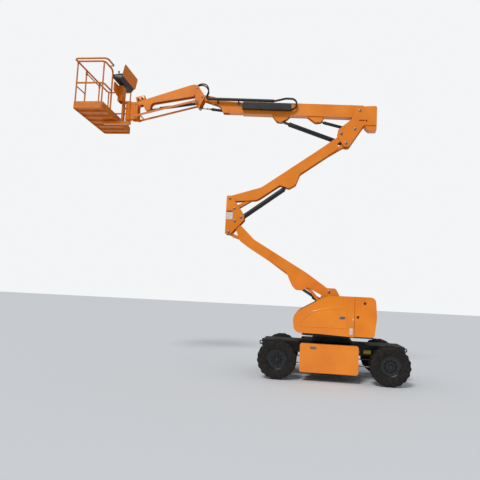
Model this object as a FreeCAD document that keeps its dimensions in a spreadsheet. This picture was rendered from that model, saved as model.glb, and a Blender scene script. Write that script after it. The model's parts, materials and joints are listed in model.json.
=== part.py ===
"""Articulating boom lift: self-propelled aerial work platform with a two-part riser,
a telescoping main boom, a jib and a work basket.

Frame: origin on the ground under the slewing axis, +X to the counterweight (rear),
-X to the basket (front), +Z up.  Millimetres and degrees.
"""
import FreeCAD, Part
import math
import os

V = FreeCAD.Vector
UP_AXIS = V(0, 0, 1)
CROSS_AXIS = V(0, 1, 0)

# alias, value, what it is
SIZES = [
    ("wheelbase", 2240, "front to rear axle"),
    ("machine_width", 2060, "over the tyres"),
    ("tyre_diameter", 800, "over the lugs"),
    ("tyre_width", 250, "section width"),
    ("bead_width", 206, "tyre over the rim flanges"),
    ("lug_height", 14, "tread lug height"),
    ("lug_length", 64, "tread lug along the ground"),
    ("lug_count", 19, "lugs round one side of a tyre"),
    ("rim_diameter", 434, "rim well"),
    ("rim_width", 210, "rim over its flanges"),
    ("rim_wall", 8, "rim sheet"),
    ("front_dish", 30, "front rim disc outside the wheel middle"),
    ("rear_dish", 62, "rear rim disc outside the wheel middle"),
    ("hub_radius", 85, "wheel hub"),
    ("spindle_radius", 36, "spindle and hub bore"),
    ("frame_front", -1470, "front end of the chassis frame"),
    ("frame_rear", 1490, "rear end of the chassis frame"),
    ("frame_width", 900, "chassis frame"),
    ("frame_bottom", 520, "underside of the frame"),
    ("frame_top", 745, "deck of the frame"),
    ("frame_wall", 12, "frame plate"),
    ("tie_lug_spread", 580, "between the middles of the two tie-down lugs"),
    ("tie_lug_plate", 20, "tie-down lug plate"),
    ("tie_lug_reach", 90, "tie-down lug ahead of the frame"),
    ("tie_hole_radius", 20, "tie-down hole"),
    ("axle_beam", 150, "axle beam section"),
    ("axle_saddle", 640, "axle saddle across the machine"),
    ("kingpin_offset", 150, "wheel middle to kingpin"),
    ("kingpin_radius", 25, "kingpin"),
    ("kingpin_fork", 150, "clear height between the kingpin fork plates"),
    ("fork_plate", 30, "kingpin fork plate"),
    ("steering_arm", 150, "kingpin to tie rod pin"),
    ("tie_pin_radius", 12, "tie rod pin"),
    ("seat_gap", 0.3, "gap where a part of another body seats"),
    ("pin_fit", 0.08, "radial clearance of a pivot pin"),
    ("side_box_front", -662, "front end of the side cover"),
    ("side_box_rear", 500, "rear end of the side cover"),
    ("side_box_bottom", 185, "underside of the side cover"),
    ("side_box_top", 755, "top of the side cover"),
    ("side_box_outer", 1000, "outer face of the side cover from the middle"),
    ("side_box_depth", 125, "depth of the side cover"),
    ("side_box_corner", 45, "corner radius of the side cover"),
    ("side_box_gap", 20, "side cover's edge to the battery box"),
    ("cover_wall", 8, "sheet and moulded covers"),
    ("cover_pin_radius", 7, "hinge pins of the covers"),
    ("cover_pin_offset", 14, "rear face of the side cover to its hinge pin"),
    ("ring_radius", 420, "slewing ring"),
    ("ring_band", 110, "slewing ring, radial"),
    ("ring_height", 80, "slewing ring pedestal above the deck"),
    ("ring_top", 905, "top of the slewing ring"),
    ("turret_floor", 935, "top of the turret base plate"),
    ("turret_front", -640, "front edge of the turret base plate"),
    ("turret_rear", 800, "rear edge of the turret base plate"),
    ("turret_half_width", 870, "turret base plate, half"),
    ("hood_outer", 950, "outer face of a hood from the middle"),
    ("hood_inner", 270, "inner face of a hood from the middle"),
    ("hood_top", 1735, "top of the hoods"),
    ("hood_bottom", 955, "lower edge of the hoods"),
    ("hood_nose", -840, "front end of the hoods"),
    ("hood_rear", 405, "seam between hood and counterweight"),
    ("seam", 6, "gap between hood and counterweight"),
    ("counterweight_rear", 850, "rear face of the counterweight"),
    ("counterweight_wall", 160, "rear wall of the counterweight"),
    ("counterweight_cheek", 150, "side wall of the counterweight"),
    ("block_height", 480, "motor, pump and tank block"),
    ("plate", 20, "pivot plates"),
    ("plate_gap", 230, "clear width between pivot plates"),
    ("arm_width", 210, "riser arms"),
    ("arm_wall", 8, "riser arm plate"),
    ("pin_radius", 30, "pivot pins"),
    ("pin_head", 12, "pin end outside a pivot plate"),
    ("boss_radius", 58, "eyes round the pivot pins"),
    ("boss_length", 29, "eyes at the ends of the riser arms"),
    ("eye_gap", 120, "clear width at the riser cylinders' eyes"),
    ("lower_pivot_x", -85, "lower riser arm's pivot"),
    ("lower_pivot_z", 1820, "lower riser arm's pivot above the ground"),
    ("lower_arm_length", 2633, "pin to pin"),
    ("lower_arm_angle", 34.9, "above level, as it stands"),
    ("lower_link_x", -129, "lower arm's pin to lower link's pin"),
    ("lower_link_z", -261, "lower arm's pin to lower link's pin"),
    ("upper_arm_x", -134, "knuckle: lower arm's pin to upper arm's pin"),
    ("upper_arm_z", 515, "knuckle: lower arm's pin to upper arm's pin"),
    ("upper_arm_length", 2912, "pin to pin"),
    ("upper_arm_angle", 32.2, "above level, as it stands"),
    ("upper_link_x", 110, "upper arm's pin to upper link's pin"),
    ("upper_link_z", -230, "upper arm's pin to upper link's pin"),
    ("link_gap", 124, "clear width between the two bars of a link"),
    ("link_bar", 16, "thickness of a link bar"),
    ("link_depth", 60, "depth of a link bar"),
    ("lower_link_crank", 63, "offset of the lower link's middle part"),
    ("boom_pivot_x", 401, "upright: upper arm's pin to boom pivot"),
    ("boom_pivot_z", 530, "upright: upper arm's pin to boom pivot"),
    ("boom_angle", 2.0, "main boom above level, as it stands"),
    ("boom_drop", 8, "boom middle line below its pivot"),
    ("boom_depth", 286, "outer boom"),
    ("boom_width", 200, "outer boom"),
    ("boom_wall", 6, "boom plate"),
    ("boom_front", 2680, "pivot to front end of the outer boom"),
    ("boom_tail", 130, "pivot to tail end of the outer boom"),
    ("bracket_plate", 16, "cylinder brackets under the boom"),
    ("bracket_gap", 124, "clear width between the cylinder brackets"),
    ("inner_depth", 236, "inner boom"),
    ("inner_width", 164, "inner boom"),
    ("inner_wall", 5, "inner boom plate"),
    ("inner_reach", 460, "inner box in front of the outer boom"),
    ("inner_tail", 60, "tail end of the inner boom in front of the pivot"),
    ("head_plate", 12, "cheeks of the boom head"),
    ("head_reach", 526, "end of the inner box to the jib pivot"),
    ("head_rise", 209, "jib pivot above the boom pivot's level"),
    ("trough_length", 1130, "cable trough"),
    ("trough_width", 115, "cable trough"),
    ("trough_height", 142, "cable trough"),
    ("trough_wall", 4, "cable trough sheet"),
    ("chain_bend", 128, "bend radius of the cable chain"),
    ("chain_depth", 36, "cable chain link"),
    ("chain_width", 40, "cable chain link"),
    ("chain_overlap", 900, "cable chain inside its tube"),
    ("chain_middle", 165, "cable chain and tube from the boom's middle"),
    ("tube_radius", 35, "cable tube"),
    ("tube_wall", 3, "cable tube"),
    ("tube_length", 1560, "cable tube"),
    ("tube_level", 150, "cable tube above the boom pivot's level"),
    ("jib_length", 1530, "pin to pin"),
    ("jib_angle", 14.2, "jib below level, as it stands"),
    ("jib_width", 170, "jib arm"),
    ("jib_wall", 6, "jib arm plate"),
    ("jib_pin_radius", 20, "jib pivot pins"),
    ("jib_plate", 16, "side plates of the jib base and head"),
    ("jib_base_gap", 208, "clear width of the jib base"),
    ("jib_head_gap", 184, "clear width of the jib head"),
    ("jib_link_spread", 370, "between the middles of the two jib link tubes"),
    ("jib_link_size", 36, "jib link tube"),
    ("rotator_reach", 195, "jib head pin to the rotator's axis"),
    ("rotator_radius", 80, "basket rotator"),
    ("rotator_shaft", 40, "basket rotator's shaft"),
    ("rotator_height", 426, "basket rotator housing"),
    ("basket_length", 1882, "basket across the machine"),
    ("basket_depth", 703, "basket along the machine"),
    ("basket_gap", 280, "basket's inner side to the rotator's axis"),
    ("floor_drop", 412, "jib head pin down to the floor's underside"),
    ("floor_thickness", 42, "basket floor frame"),
    ("floor_sheet", 4, "floor and toe board sheet"),
    ("deck_plate", 2, "tread plate on the floor, inside the posts"),
    ("deck_inset", 8, "tread plate's edge to the posts"),
    ("floor_corner", 50, "corner radius of the tray"),
    ("toe_board", 155, "toe board above the floor underside"),
    ("rail_height", 1110, "top rail above the floor underside"),
    ("mid_rail", 600, "middle rail above the floor underside"),
    ("side_rail", 535, "middle rail beside the entry"),
    ("rail_radius", 20, "basket rails"),
    ("post_radius", 17, "basket posts"),
    ("rail_bend", 90, "bend radius of the rails"),
    ("rail_overhang", 144, "outer hand rail past the end of the basket"),
    ("entry_near", -426, "post on the near side of the entry"),
    ("entry_far", 345, "post on the far side of the entry"),
    ("rail_post_near", -430, "inner post on the near side"),
    ("rail_post_far", 330, "inner post on the far side"),
    ("bar_height", 1040, "entry bar above the floor underside"),
    ("bar_radius", 14, "entry bar"),
    ("console_width", 800, "control console"),
    ("console_depth", 240, "control console"),
    ("console_height", 150, "control console"),
    ("console_level", 880, "underside of the console above the floor underside"),
    ("shield_height", 280, "console shield"),
    ("shield_lean", 11, "console shield's lean to the boom, degrees"),
    ("shield_wall", 8, "console shield"),
]

doc = FreeCAD.newDocument("BoomLift")
sheet = doc.addObject("Spreadsheet::Sheet", "Sizes")
for row, (alias, value, meaning) in enumerate(SIZES, start=1):
    sheet.set(f"A{row}", meaning)
    sheet.set(f"B{row}", str(value))
    sheet.setAlias(f"B{row}", alias)
doc.recompute()


class Size:
    """The sizes of the sheet, by name."""


size = Size()
for alias, value, meaning in SIZES:
    setattr(size, alias, float(sheet.get(alias)))

nodes = {}


def turn(point, degrees):
    """Turn an (x, z) point about the cross axis; a positive angle lifts the -X end."""
    c, s = math.cos(math.radians(degrees)), math.sin(math.radians(degrees))
    x, z = point
    return (x * c + z * s, -x * s + z * c)


def shift(point, offset):
    return (point[0] + offset[0], point[1] + offset[1])


def rounded(points):
    """Edges of a closed outline from (u, v, radius) corners."""
    corners = []
    count = len(points)
    for i, (u, v, radius) in enumerate(points):
        here = V(u, v, 0)
        before = V(points[i - 1][0], points[i - 1][1], 0) - here
        after = V(points[(i + 1) % count][0], points[(i + 1) % count][1], 0) - here
        angle = before.getAngle(after)
        if math.pi - angle < 1e-4:
            continue
        if radius <= 0:
            corners.append((here, None, here))
            continue
        run = radius / math.tan(angle / 2)
        before.normalize()
        after.normalize()
        middle = before + after
        middle.normalize()
        reach = radius / math.sin(angle / 2)
        top = here + middle * (reach - radius)
        corners.append((here + before * run, top, here + after * run))
    edges = []
    for i, (start, top, end) in enumerate(corners):
        if top is not None:
            edges.append(Part.Arc(start, top, end))
        next_start = corners[(i + 1) % len(corners)][0]
        if (next_start - end).Length > 1e-6:
            edges.append(Part.LineSegment(end, next_start))
    return edges


def box(left, low, right, high, radius=0):
    """Rectangle ring, with one radius at all corners."""
    return rounded([(left, low, radius), (right, low, radius), (right, high, radius), (left, high, radius)])


def circle(u, v, radius):
    return [Part.Circle(V(u, v, 0), V(0, 0, 1), radius)]


def body(label):
    made = doc.addObject("PartDesign::Body", label)
    made.Label = label
    nodes[label] = made
    return made


def sketch(owner, plane, *rings, offset=0.0):
    """Sketch of closed rings on one of the body's own planes."""
    flat = owner.newObject("Sketcher::SketchObject", owner.Label + "_sketch")
    origin = [part for part in owner.Origin.OriginFeatures if part.Role == plane][0]
    flat.AttachmentSupport = [(origin, "")]
    flat.MapMode = "FlatFace"
    flat.AttachmentOffset = FreeCAD.Placement(V(0, 0, offset), FreeCAD.Rotation())
    for ring in rings:
        for edge in ring:
            flat.addGeometry(edge, False)
    return flat


def extrude(kind, owner, flat, length, both):
    made = owner.newObject("PartDesign::" + kind, owner.Label + "_" + kind.lower())
    made.Profile = flat
    if both:
        made.SideType = "Symmetric"
    made.setExpression("Length", str(length))
    doc.recompute()
    return made


def pad(owner, flat, length, both=True):
    """Pad of a sketch; the length is an expression of the sheet."""
    return extrude("Pad", owner, flat, length, both)


def pocket(owner, flat, length, both=True):
    return extrude("Pocket", owner, flat, length, both)


def pad_pair(owner, rings, near, length):
    """Pad the same ring twice on the XZ plane, outwards from a distance on each side."""
    for side in (-1, 1):
        made = pad(owner, sketch(owner, "XZ_Plane", rings, offset=-side * near), length, both=False)
        made.Reversed = side > 0
        doc.recompute()


def revolve(owner, flat, axis="H_Axis"):
    made = owner.newObject("PartDesign::Revolution", owner.Label + "_turned")
    made.Profile = flat
    made.ReferenceAxis = (flat, [axis])
    made.Angle = 360
    doc.recompute()
    return made


def place(owner, point, lift=0.0, cross=0.0):
    """Put a body's own origin at (x, z) and lift its -X end."""
    owner.Placement = FreeCAD.Placement(V(point[0], cross, point[1]),
                                        FreeCAD.Rotation(CROSS_AXIS, lift))


def feature(label, shape, placement=None):
    made = doc.addObject("Part::Feature", label)
    made.Shape = shape
    if placement is not None:
        made.Placement = placement
    made.Label = label
    nodes[label] = made
    return made


def path_wire(points, bend):
    """Wire through 3-D points with a bend at each inner corner."""
    points = [V(*point) for point in points]
    edges = []
    start = points[0]
    for i in range(1, len(points) - 1):
        before = (points[i - 1] - points[i]).normalize()
        after = (points[i + 1] - points[i]).normalize()
        angle = before.getAngle(after)
        run = bend / math.tan(angle / 2)
        middle = (before + after).normalize()
        top = points[i] + middle * (bend / math.sin(angle / 2) - bend)
        enter = points[i] + before * run
        leave = points[i] + after * run
        if (enter - start).Length > 1e-6:
            edges.append(Part.LineSegment(start, enter).toShape())
        edges.append(Part.Arc(enter, top, leave).toShape())
        start = leave
    edges.append(Part.LineSegment(start, points[-1]).toShape())
    return Part.Wire(edges)


def tube(points, bend, radius):
    """Round bar along a bent path, from straight lengths and turned bends."""
    lengths = []
    for edge in path_wire(points, bend).OrderedEdges:
        start, end = edge.firstVertex(True).Point, edge.lastVertex(True).Point
        if edge.Curve.TypeId == "Part::GeomLine":
            lengths.append(bar(start, end, radius))
        else:
            centre = edge.Curve.Center
            axis = (start - centre).cross(end - centre)
            way = axis.cross(start - centre)
            ring = Part.Face(Part.Wire(Part.Circle(start, way, radius).toShape()))
            lengths.append(ring.revolve(centre, axis, math.degrees(edge.Length / edge.Curve.Radius)))
    return lengths[0].fuse(lengths[1:])


def bar(start, end, radius):
    """Straight round bar between two points."""
    way = V(*end) - V(*start)
    return Part.makeCylinder(radius, way.Length, V(*start), way)


def fused(shapes):
    """One solid from bars added one after another."""
    whole = shapes[0]
    for shape in shapes[1:]:
        whole = whole.fuse(shape)
    return whole.removeSplitter()


# Main points of the side view, (x, z) from the slewing axis and the ground
upper_link_step = (size.upper_link_x, size.upper_link_z)
upper_arm_step = (size.upper_arm_x, size.upper_arm_z)
lower_link_step = (size.lower_link_x, size.lower_link_z)
boom_pivot_step = (size.boom_pivot_x, size.boom_pivot_z)
UPPER_CYLINDER_STEP = (138, 86)
LOWER_CYLINDER_BASE = (215, 1320)
LOWER_CYLINDER_EYE = (-620, -312)
UPPER_CYLINDER_EYE = (1349, -408)
MASTER_STEP = (302, 103)
LIFT_EYE = (-1800, -266)
MASTER_EYE = (-942, -234)
JIB_ARM_STEP = (-137, 215)
JIB_LINK_STEP = (-124, -112)
SLAVE_STEP = (-75, -220)
JIB_CYLINDER_EYE = (-1277, -182)

inner_front = size.boom_front + size.inner_reach
JIB_PIVOT = (-inner_front - size.head_reach, size.head_rise)
SLAVE_BASE = (-inner_front + 130, -84)

lower_pivot = (size.lower_pivot_x, size.lower_pivot_z)
knuckle_point = shift(lower_pivot, turn((-size.lower_arm_length, 0), size.lower_arm_angle))
lower_link_pivot = shift(lower_pivot, lower_link_step)
upper_arm_pivot = shift(knuckle_point, upper_arm_step)
upper_link_pivot = shift(upper_arm_pivot, upper_link_step)
upper_cylinder_base = shift(knuckle_point, UPPER_CYLINDER_STEP)
upright_point = shift(upper_arm_pivot, turn((size.upper_arm_length, 0), -size.upper_arm_angle))
upright_tip = shift(upright_point, upper_link_step)
master_base = shift(upright_point, MASTER_STEP)
boom_pivot = shift(upright_point, boom_pivot_step)
jib_base_point = shift(boom_pivot, turn(JIB_PIVOT, size.boom_angle))
slave_base = shift(boom_pivot, turn(SLAVE_BASE, size.boom_angle))
jib_arm_pivot = shift(jib_base_point, JIB_ARM_STEP)
jib_link_pivot = shift(jib_base_point, JIB_LINK_STEP)
slave_point = shift(jib_base_point, SLAVE_STEP)
jib_head_point = shift(jib_arm_pivot, turn((-size.jib_length, 0), -size.jib_angle))
lower_eye = shift(lower_pivot, turn(LOWER_CYLINDER_EYE, size.lower_arm_angle))
upper_eye = shift(upper_arm_pivot, turn(UPPER_CYLINDER_EYE, -size.upper_arm_angle))
lift_eye = shift(boom_pivot, turn(LIFT_EYE, size.boom_angle))
master_eye = shift(boom_pivot, turn(MASTER_EYE, size.boom_angle))
jib_eye = shift(jib_arm_pivot, turn(JIB_CYLINDER_EYE, -size.jib_angle))

wheel_y = size.machine_width / 2 - size.tyre_width / 2
kingpin_y = wheel_y - size.kingpin_offset
axle_x = size.wheelbase / 2
axle_z = size.tyre_diameter / 2

# Chassis frame: closed plate box between the axles, with two tie-down lugs at each end
frame = body("chassis_frame")
front, rear = size.frame_front, size.frame_rear
low, top, wall = size.frame_bottom, size.frame_top, size.frame_wall
outline = [(front, low + 90, 20), (front, top, 20), (rear, top, 20), (rear, low + 110, 20),
           (rear - 120, low, 30), (front + 110, low, 30)]
hollow = [(front + wall, low + 95, 0), (front + wall, top - wall, 0), (rear - wall, top - wall, 0),
          (rear - wall, low + 115, 0), (rear - 125, low + wall, 0), (front + 115, low + wall, 0)]
pad(frame, sketch(frame, "XZ_Plane", rounded(outline)), "Sizes.frame_width")
pocket(frame, sketch(frame, "XZ_Plane", rounded(hollow)), "Sizes.frame_width - 2 * Sizes.frame_wall")
reach = size.tie_lug_reach
for x, way in ((front + 20, -1), (rear - 20, 1)):
    lug = [(x, low + 95, 0), (x + way * reach, low + 110, 25), (x + way * reach, low + 190, 25), (x, low + 190, 0)]
    hole = circle(x + way * (reach - 38), low + 150, size.tie_hole_radius)
    for side in (-1, 1):
        pad(frame, sketch(frame, "XZ_Plane", rounded(lug), hole, offset=side * size.tie_lug_spread / 2),
            "Sizes.tie_lug_plate")

# Slewing ring pedestal
ring = body("slew_ring")
pad(ring, sketch(ring, "XY_Plane", circle(0, 0, size.ring_radius), circle(0, 0, size.ring_radius - size.ring_band),
                 offset=size.frame_top), "Sizes.ring_height", both=False)

# Battery boxes hung on both sides of the frame, with the hinge tabs of the covers
boxes = body("battery_boxes")
cover_edge = size.side_box_outer - size.side_box_depth
box_face = cover_edge - size.side_box_gap
box_front, box_rear = size.side_box_front + 62, size.side_box_rear - 10
pin_x, pin_y = size.side_box_rear + size.cover_pin_offset, cover_edge + 10
hinge_levels = (size.side_box_bottom + 115, size.side_box_top - 155)
for side in (-1, 1):
    inner, outer = side * size.frame_width / 2, side * box_face
    ring_points = [(box_front, inner, 0), (box_rear, inner, 0), (box_rear, outer, 15), (box_front, outer, 15)]
    pad(boxes, sketch(boxes, "XY_Plane", rounded(ring_points), offset=size.side_box_bottom + 20),
        "Sizes.side_box_top - Sizes.side_box_bottom - 30", both=False)
for side in (-1, 1):
    tab = [(box_rear - 24, side * (box_face - 4), 0), (pin_x + 8, side * (box_face - 4), 0),
           (pin_x + 8, side * (pin_y + 8), 7), (pin_x - 8, side * (pin_y + 8), 7), (pin_x - 8, side * (box_face + 14), 0),
           (box_rear - 24, side * (box_face + 14), 0)]
    for z in hinge_levels:
        pad(boxes, sketch(boxes, "XY_Plane", rounded(tab), offset=z), "14", both=False)
        pad(boxes, sketch(boxes, "XY_Plane", circle(pin_x, side * pin_y, size.cover_pin_radius), offset=z),
            "64", both=False)

# Side covers: deep pans hinged at the rear upright edge
wall, corner = size.cover_wall, size.side_box_corner
for label, side in (("side_cover_left", -1), ("side_cover_right", 1)):
    cover = body(label)
    face = -side * size.side_box_outer
    outer = box(size.side_box_front, size.side_box_bottom, size.side_box_rear, size.side_box_top, corner)
    inner = box(size.side_box_front + wall, size.side_box_bottom + wall, size.side_box_rear - wall,
                size.side_box_top - wall, corner - wall)
    shell = pad(cover, sketch(cover, "XZ_Plane", outer, offset=face), "Sizes.side_box_depth", both=False)
    shell.Reversed = side < 0
    cut = pocket(cover, sketch(cover, "XZ_Plane", inner, offset=face + side * wall),
                 "Sizes.side_box_depth", both=False)
    cut.Reversed = side > 0
    doc.recompute()
    eye_y = side * pin_y
    for z in hinge_levels:
        eye = box(size.side_box_rear - 4, eye_y - 8, pin_x, eye_y + 8)
        pad(cover, sketch(cover, "XY_Plane", eye, offset=z + 14 + size.seat_gap), "48", both=False)
        pad(cover, sketch(cover, "XY_Plane", circle(pin_x, eye_y, size.cover_pin_radius + 4),
                          offset=z + 14 + size.seat_gap), "48", both=False)
        pocket(cover, sketch(cover, "XY_Plane", circle(pin_x, eye_y, size.cover_pin_radius + size.pin_fit),
                             offset=z + 40), "60")

# Front axle: beam with forked ends round the kingpins
front_axle = body("front_axle")
half = size.axle_beam / 2
clear, fork_plate = size.kingpin_fork / 2, size.fork_plate
fork_root = kingpin_y - 135
saddle = [(-axle_x - 110, axle_z + half - 20, 0), (-axle_x + 110, axle_z + half - 20, 0),
          (-axle_x + 150, size.frame_bottom, 0), (-axle_x - 150, size.frame_bottom, 0)]
pad(front_axle, sketch(front_axle, "XZ_Plane", box(-axle_x - half, axle_z - half, -axle_x + half, axle_z + half, 15)),
    "Sizes.machine_width - Sizes.tyre_width - 2 * Sizes.kingpin_offset - 230")
pad(front_axle, sketch(front_axle, "XZ_Plane", rounded(saddle)), "Sizes.axle_saddle")
fork = [(-axle_x - 50, -kingpin_y - 50, 48), (-axle_x + 50, -kingpin_y - 50, 48),
        (-axle_x + 60, -fork_root, 10), (-axle_x - 60, -fork_root, 10)]
fork_far = [(x, -y, r) for x, y, r in fork]
for height in (axle_z - clear - fork_plate, axle_z + clear):
    pad(front_axle, sketch(front_axle, "XY_Plane", rounded(fork), rounded(fork_far), offset=height),
        "Sizes.fork_plate", both=False)
for side in (-1, 1):
    pad(front_axle, sketch(front_axle, "XY_Plane", circle(-axle_x, side * kingpin_y, size.kingpin_radius),
                           offset=axle_z - clear - fork_plate - 10),
        "Sizes.kingpin_fork + 2 * Sizes.fork_plate + 20", both=False)
    web = box(-axle_x - 50, side * fork_root - 20, -axle_x + 50, side * fork_root + 20)
    pad(front_axle, sketch(front_axle, "XY_Plane", web, offset=axle_z - clear - fork_plate),
        "Sizes.kingpin_fork + 2 * Sizes.fork_plate", both=False)

# Steering knuckles: kingpin eye, spindle and steering arm
reach = size.steering_arm
for label, side in (("steering_knuckle_left", -1), ("steering_knuckle_right", 1)):
    knuckle = body(label)
    pad(knuckle, sketch(knuckle, "XY_Plane", circle(0, 0, size.kingpin_radius + 21)), "Sizes.kingpin_fork - 10")
    spindle = pad(knuckle, sketch(knuckle, "XZ_Plane", circle(0, 0, size.spindle_radius - size.pin_fit)),
                  "Sizes.kingpin_offset + Sizes.front_dish + 35", both=False)
    spindle.Reversed = side > 0
    doc.recompute()
    arm = [(-30, -30, 20), (reach, -22, 21), (reach + 30, 0, 14), (reach, 22, 21), (-30, 30, 20)]
    pad(knuckle, sketch(knuckle, "XY_Plane", rounded(arm), offset=-64), "24", both=False)
    pad(knuckle, sketch(knuckle, "XY_Plane", circle(reach, 0, size.tie_pin_radius), offset=-64), "58", both=False)
    pocket(knuckle, sketch(knuckle, "XY_Plane", circle(0, 0, size.kingpin_radius + size.pin_fit)),
           "2 * Sizes.kingpin_fork")
    knuckle.Placement = FreeCAD.Placement(V(-axle_x, side * kingpin_y, axle_z), FreeCAD.Rotation())

# Tie rod: slotted ends over the pins of the two steering arms
tie_rod = body("tie_rod")
tie_x = -axle_x + reach
inner_side = [(tie_x - 42, -kingpin_y - 32, 12), (tie_x - 42, -kingpin_y + 32, 12), (tie_x - 20, -kingpin_y + 60, 20)]
outer_side = [(tie_x + 16, -kingpin_y + 70, 30), (tie_x + 28, -kingpin_y + 40, 20), (tie_x + 28, -kingpin_y - 32, 12)]
tie_plan = inner_side + [(x, -y, r) for x, y, r in reversed(inner_side)]
tie_plan += [(x, -y, r) for x, y, r in reversed(outer_side)] + outer_side
tie_low = axle_z - 40 + size.seat_gap
pad(tie_rod, sketch(tie_rod, "XY_Plane", rounded(tie_plan), offset=tie_low), "26", both=False)
slot_half = size.tie_pin_radius + 2
slot_back = reach - reach * math.cos(math.radians(30)) + slot_half
for side in (-1, 1):
    y = side * kingpin_y
    slot = box(tie_x - slot_back, y - slot_half, tie_x + slot_half, y + slot_half, slot_half - 1)
    pocket(tie_rod, sketch(tie_rod, "XY_Plane", slot, offset=tie_low + 20), "60")

# Rear axle: beam with the two drive hubs
rear_axle = body("rear_axle")
track = "Sizes.machine_width - Sizes.tyre_width"
pad(rear_axle, sketch(rear_axle, "XZ_Plane", box(axle_x - half, axle_z - half, axle_x + half, axle_z + half, 15)),
    track + " - 510")
saddle = [(-x, z, r) for x, z, r in reversed(saddle)]
pad(rear_axle, sketch(rear_axle, "XZ_Plane", rounded(saddle)), "Sizes.axle_saddle")
pad(rear_axle, sketch(rear_axle, "XZ_Plane", circle(axle_x, axle_z, size.hub_radius + 30)), track + " - 250")
pad(rear_axle, sketch(rear_axle, "XZ_Plane", circle(axle_x, axle_z, size.hub_radius + 5)),
    track + " + 2 * Sizes.rear_dish - 2 * Sizes.rim_wall - 1")

# Tyre: carcass of flats, two to a lug pitch, and two staggered rows of tread lugs
flats = int(2 * size.lug_count)
half_width, bead = size.tyre_width / 2, size.rim_diameter / 2
tread = size.tyre_diameter / 2 - size.lug_height
belly = (bead + tread) / 2


def flat_point(y, radius, step):
    angle = 2 * math.pi * step / flats
    return V(radius * math.sin(angle), y, radius * math.cos(angle))


section = [(-size.bead_width / 2, bead), (-half_width, belly), (25 - half_width, tread),
           (half_width - 25, tread), (half_width, belly), (size.bead_width / 2, bead)]
faces = []
for step in range(flats):
    for (y0, r0), (y1, r1) in zip(section, section[1:] + section[:1]):
        corners = [flat_point(y0, r0, step), flat_point(y1, r1, step), flat_point(y1, r1, step + 1),
                   flat_point(y0, r0, step + 1)]
        faces.append(Part.Face(Part.makePolygon(corners + corners[:1])))
carcass = Part.Solid(Part.Shell(faces))
if carcass.Volume < 0:
    carcass.reverse()
tip = size.tyre_diameter / 2
lug_row = [(6, tread - 14), (6, tip), (half_width - 27, tip), (half_width - 1, belly + 38),
           (half_width - 14, belly + 26), (half_width - 37, tread - 14)]
lugs = []
for side, start in ((1, 0), (-1, 1)):
    points = [V(-size.lug_length / 2, side * y, r) for y, r in lug_row]
    lug = Part.Face(Part.makePolygon(points + points[:1])).extrude(V(size.lug_length, 0, 0))
    for step in range(int(size.lug_count)):
        turned = lug.copy()
        turned.rotate(V(0, 0, 0), CROSS_AXIS, 360 * (2 * step + start) / flats)
        lugs.append(turned)
tyre_shape = carcass.fuse(lugs)

# Rims: well, disc and hub turned in one, deep dished in front and flat behind
lip = bead * math.cos(math.pi / flats) - size.seat_gap
well = lip - size.rim_wall
rim_half = size.rim_width / 2
for name, end, side in (("front_left", -1, -1), ("front_right", -1, 1), ("rear_left", 1, -1), ("rear_right", 1, 1)):
    spot = FreeCAD.Placement(V(end * axle_x, side * wheel_y, axle_z), FreeCAD.Rotation())
    feature("tyre_" + name, tyre_shape.copy(), spot)
    rim = body("rim_" + name)
    if end < 0:
        dish = side * size.front_dish
        hub = [(dish - side * size.rim_wall, 72), (dish - side * 60, 72), (dish - side * 60, size.spindle_radius),
               (dish + side * 26, size.spindle_radius), (dish + side * 26, size.hub_radius - 12),
               (dish + side * 14, size.hub_radius), (dish, size.hub_radius)]
    else:
        dish = side * size.rear_dish
        hub = [(dish - side * size.rim_wall, 0), (dish + side * 30, 0), (dish + side * 30, size.hub_radius + 8),
               (dish + side * 18, size.hub_radius + 20), (dish, size.hub_radius + 20)]
    profile = [(-side * rim_half, well), (dish - side * (size.rim_wall + 14), well),
               (dish - side * size.rim_wall, well - 14)] + hub
    profile += [(dish, well - 20), (dish + side * 14, well), (side * rim_half, well), (side * rim_half, lip),
                (-side * rim_half, lip)]
    revolve(rim, sketch(rim, "YZ_Plane", rounded([(y, r, 0) for y, r in profile])))
    rim.Placement = spot

# Turret frame: base plate, inner ring and the two riser plates
turret = body("turret_frame")
floor_z = size.turret_floor
half = size.turret_half_width
base_plan = [(size.turret_front, -half, 200), (size.turret_rear, -half, 20), (size.turret_rear, half, 20),
             (size.turret_front, half, 200)]
pad(turret, sketch(turret, "XY_Plane", rounded(base_plan), offset=size.ring_top),
    "Sizes.turret_floor - Sizes.ring_top", both=False)
pad(turret, sketch(turret, "XY_Plane", circle(0, 0, size.ring_radius - 20),
                   circle(0, 0, size.ring_radius - size.ring_band),
                   offset=size.frame_top + size.ring_height + size.seat_gap),
    "Sizes.ring_top - Sizes.frame_top - Sizes.ring_height - Sizes.seat_gap", both=False)
px, pz = lower_pivot
riser = [(-430, floor_z, 0), (400, floor_z, 0), (395, floor_z + 315, 60), (330, floor_z + 485, 90),
         (px + 145, pz + 80, 70), (px - 90, pz + 80, 72), (px - 215, pz - 230, 60), (px - 225, pz - 340, 60)]
pad(turret, sketch(turret, "XZ_Plane", rounded(riser)), "Sizes.plate_gap + 2 * Sizes.plate")
pocket(turret, sketch(turret, "XZ_Plane", box(-700, floor_z, 900, pz + 280)), "Sizes.plate_gap")
for x, z in (lower_pivot, LOWER_CYLINDER_BASE, lower_link_pivot):
    pad(turret, sketch(turret, "XZ_Plane", circle(x, z, size.pin_radius)),
        "Sizes.plate_gap + 2 * Sizes.plate + 2 * Sizes.pin_head")
pocket(turret, sketch(turret, "XZ_Plane", circle(*lower_link_pivot, size.pin_radius + 5)), "Sizes.link_gap - 4")

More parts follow.
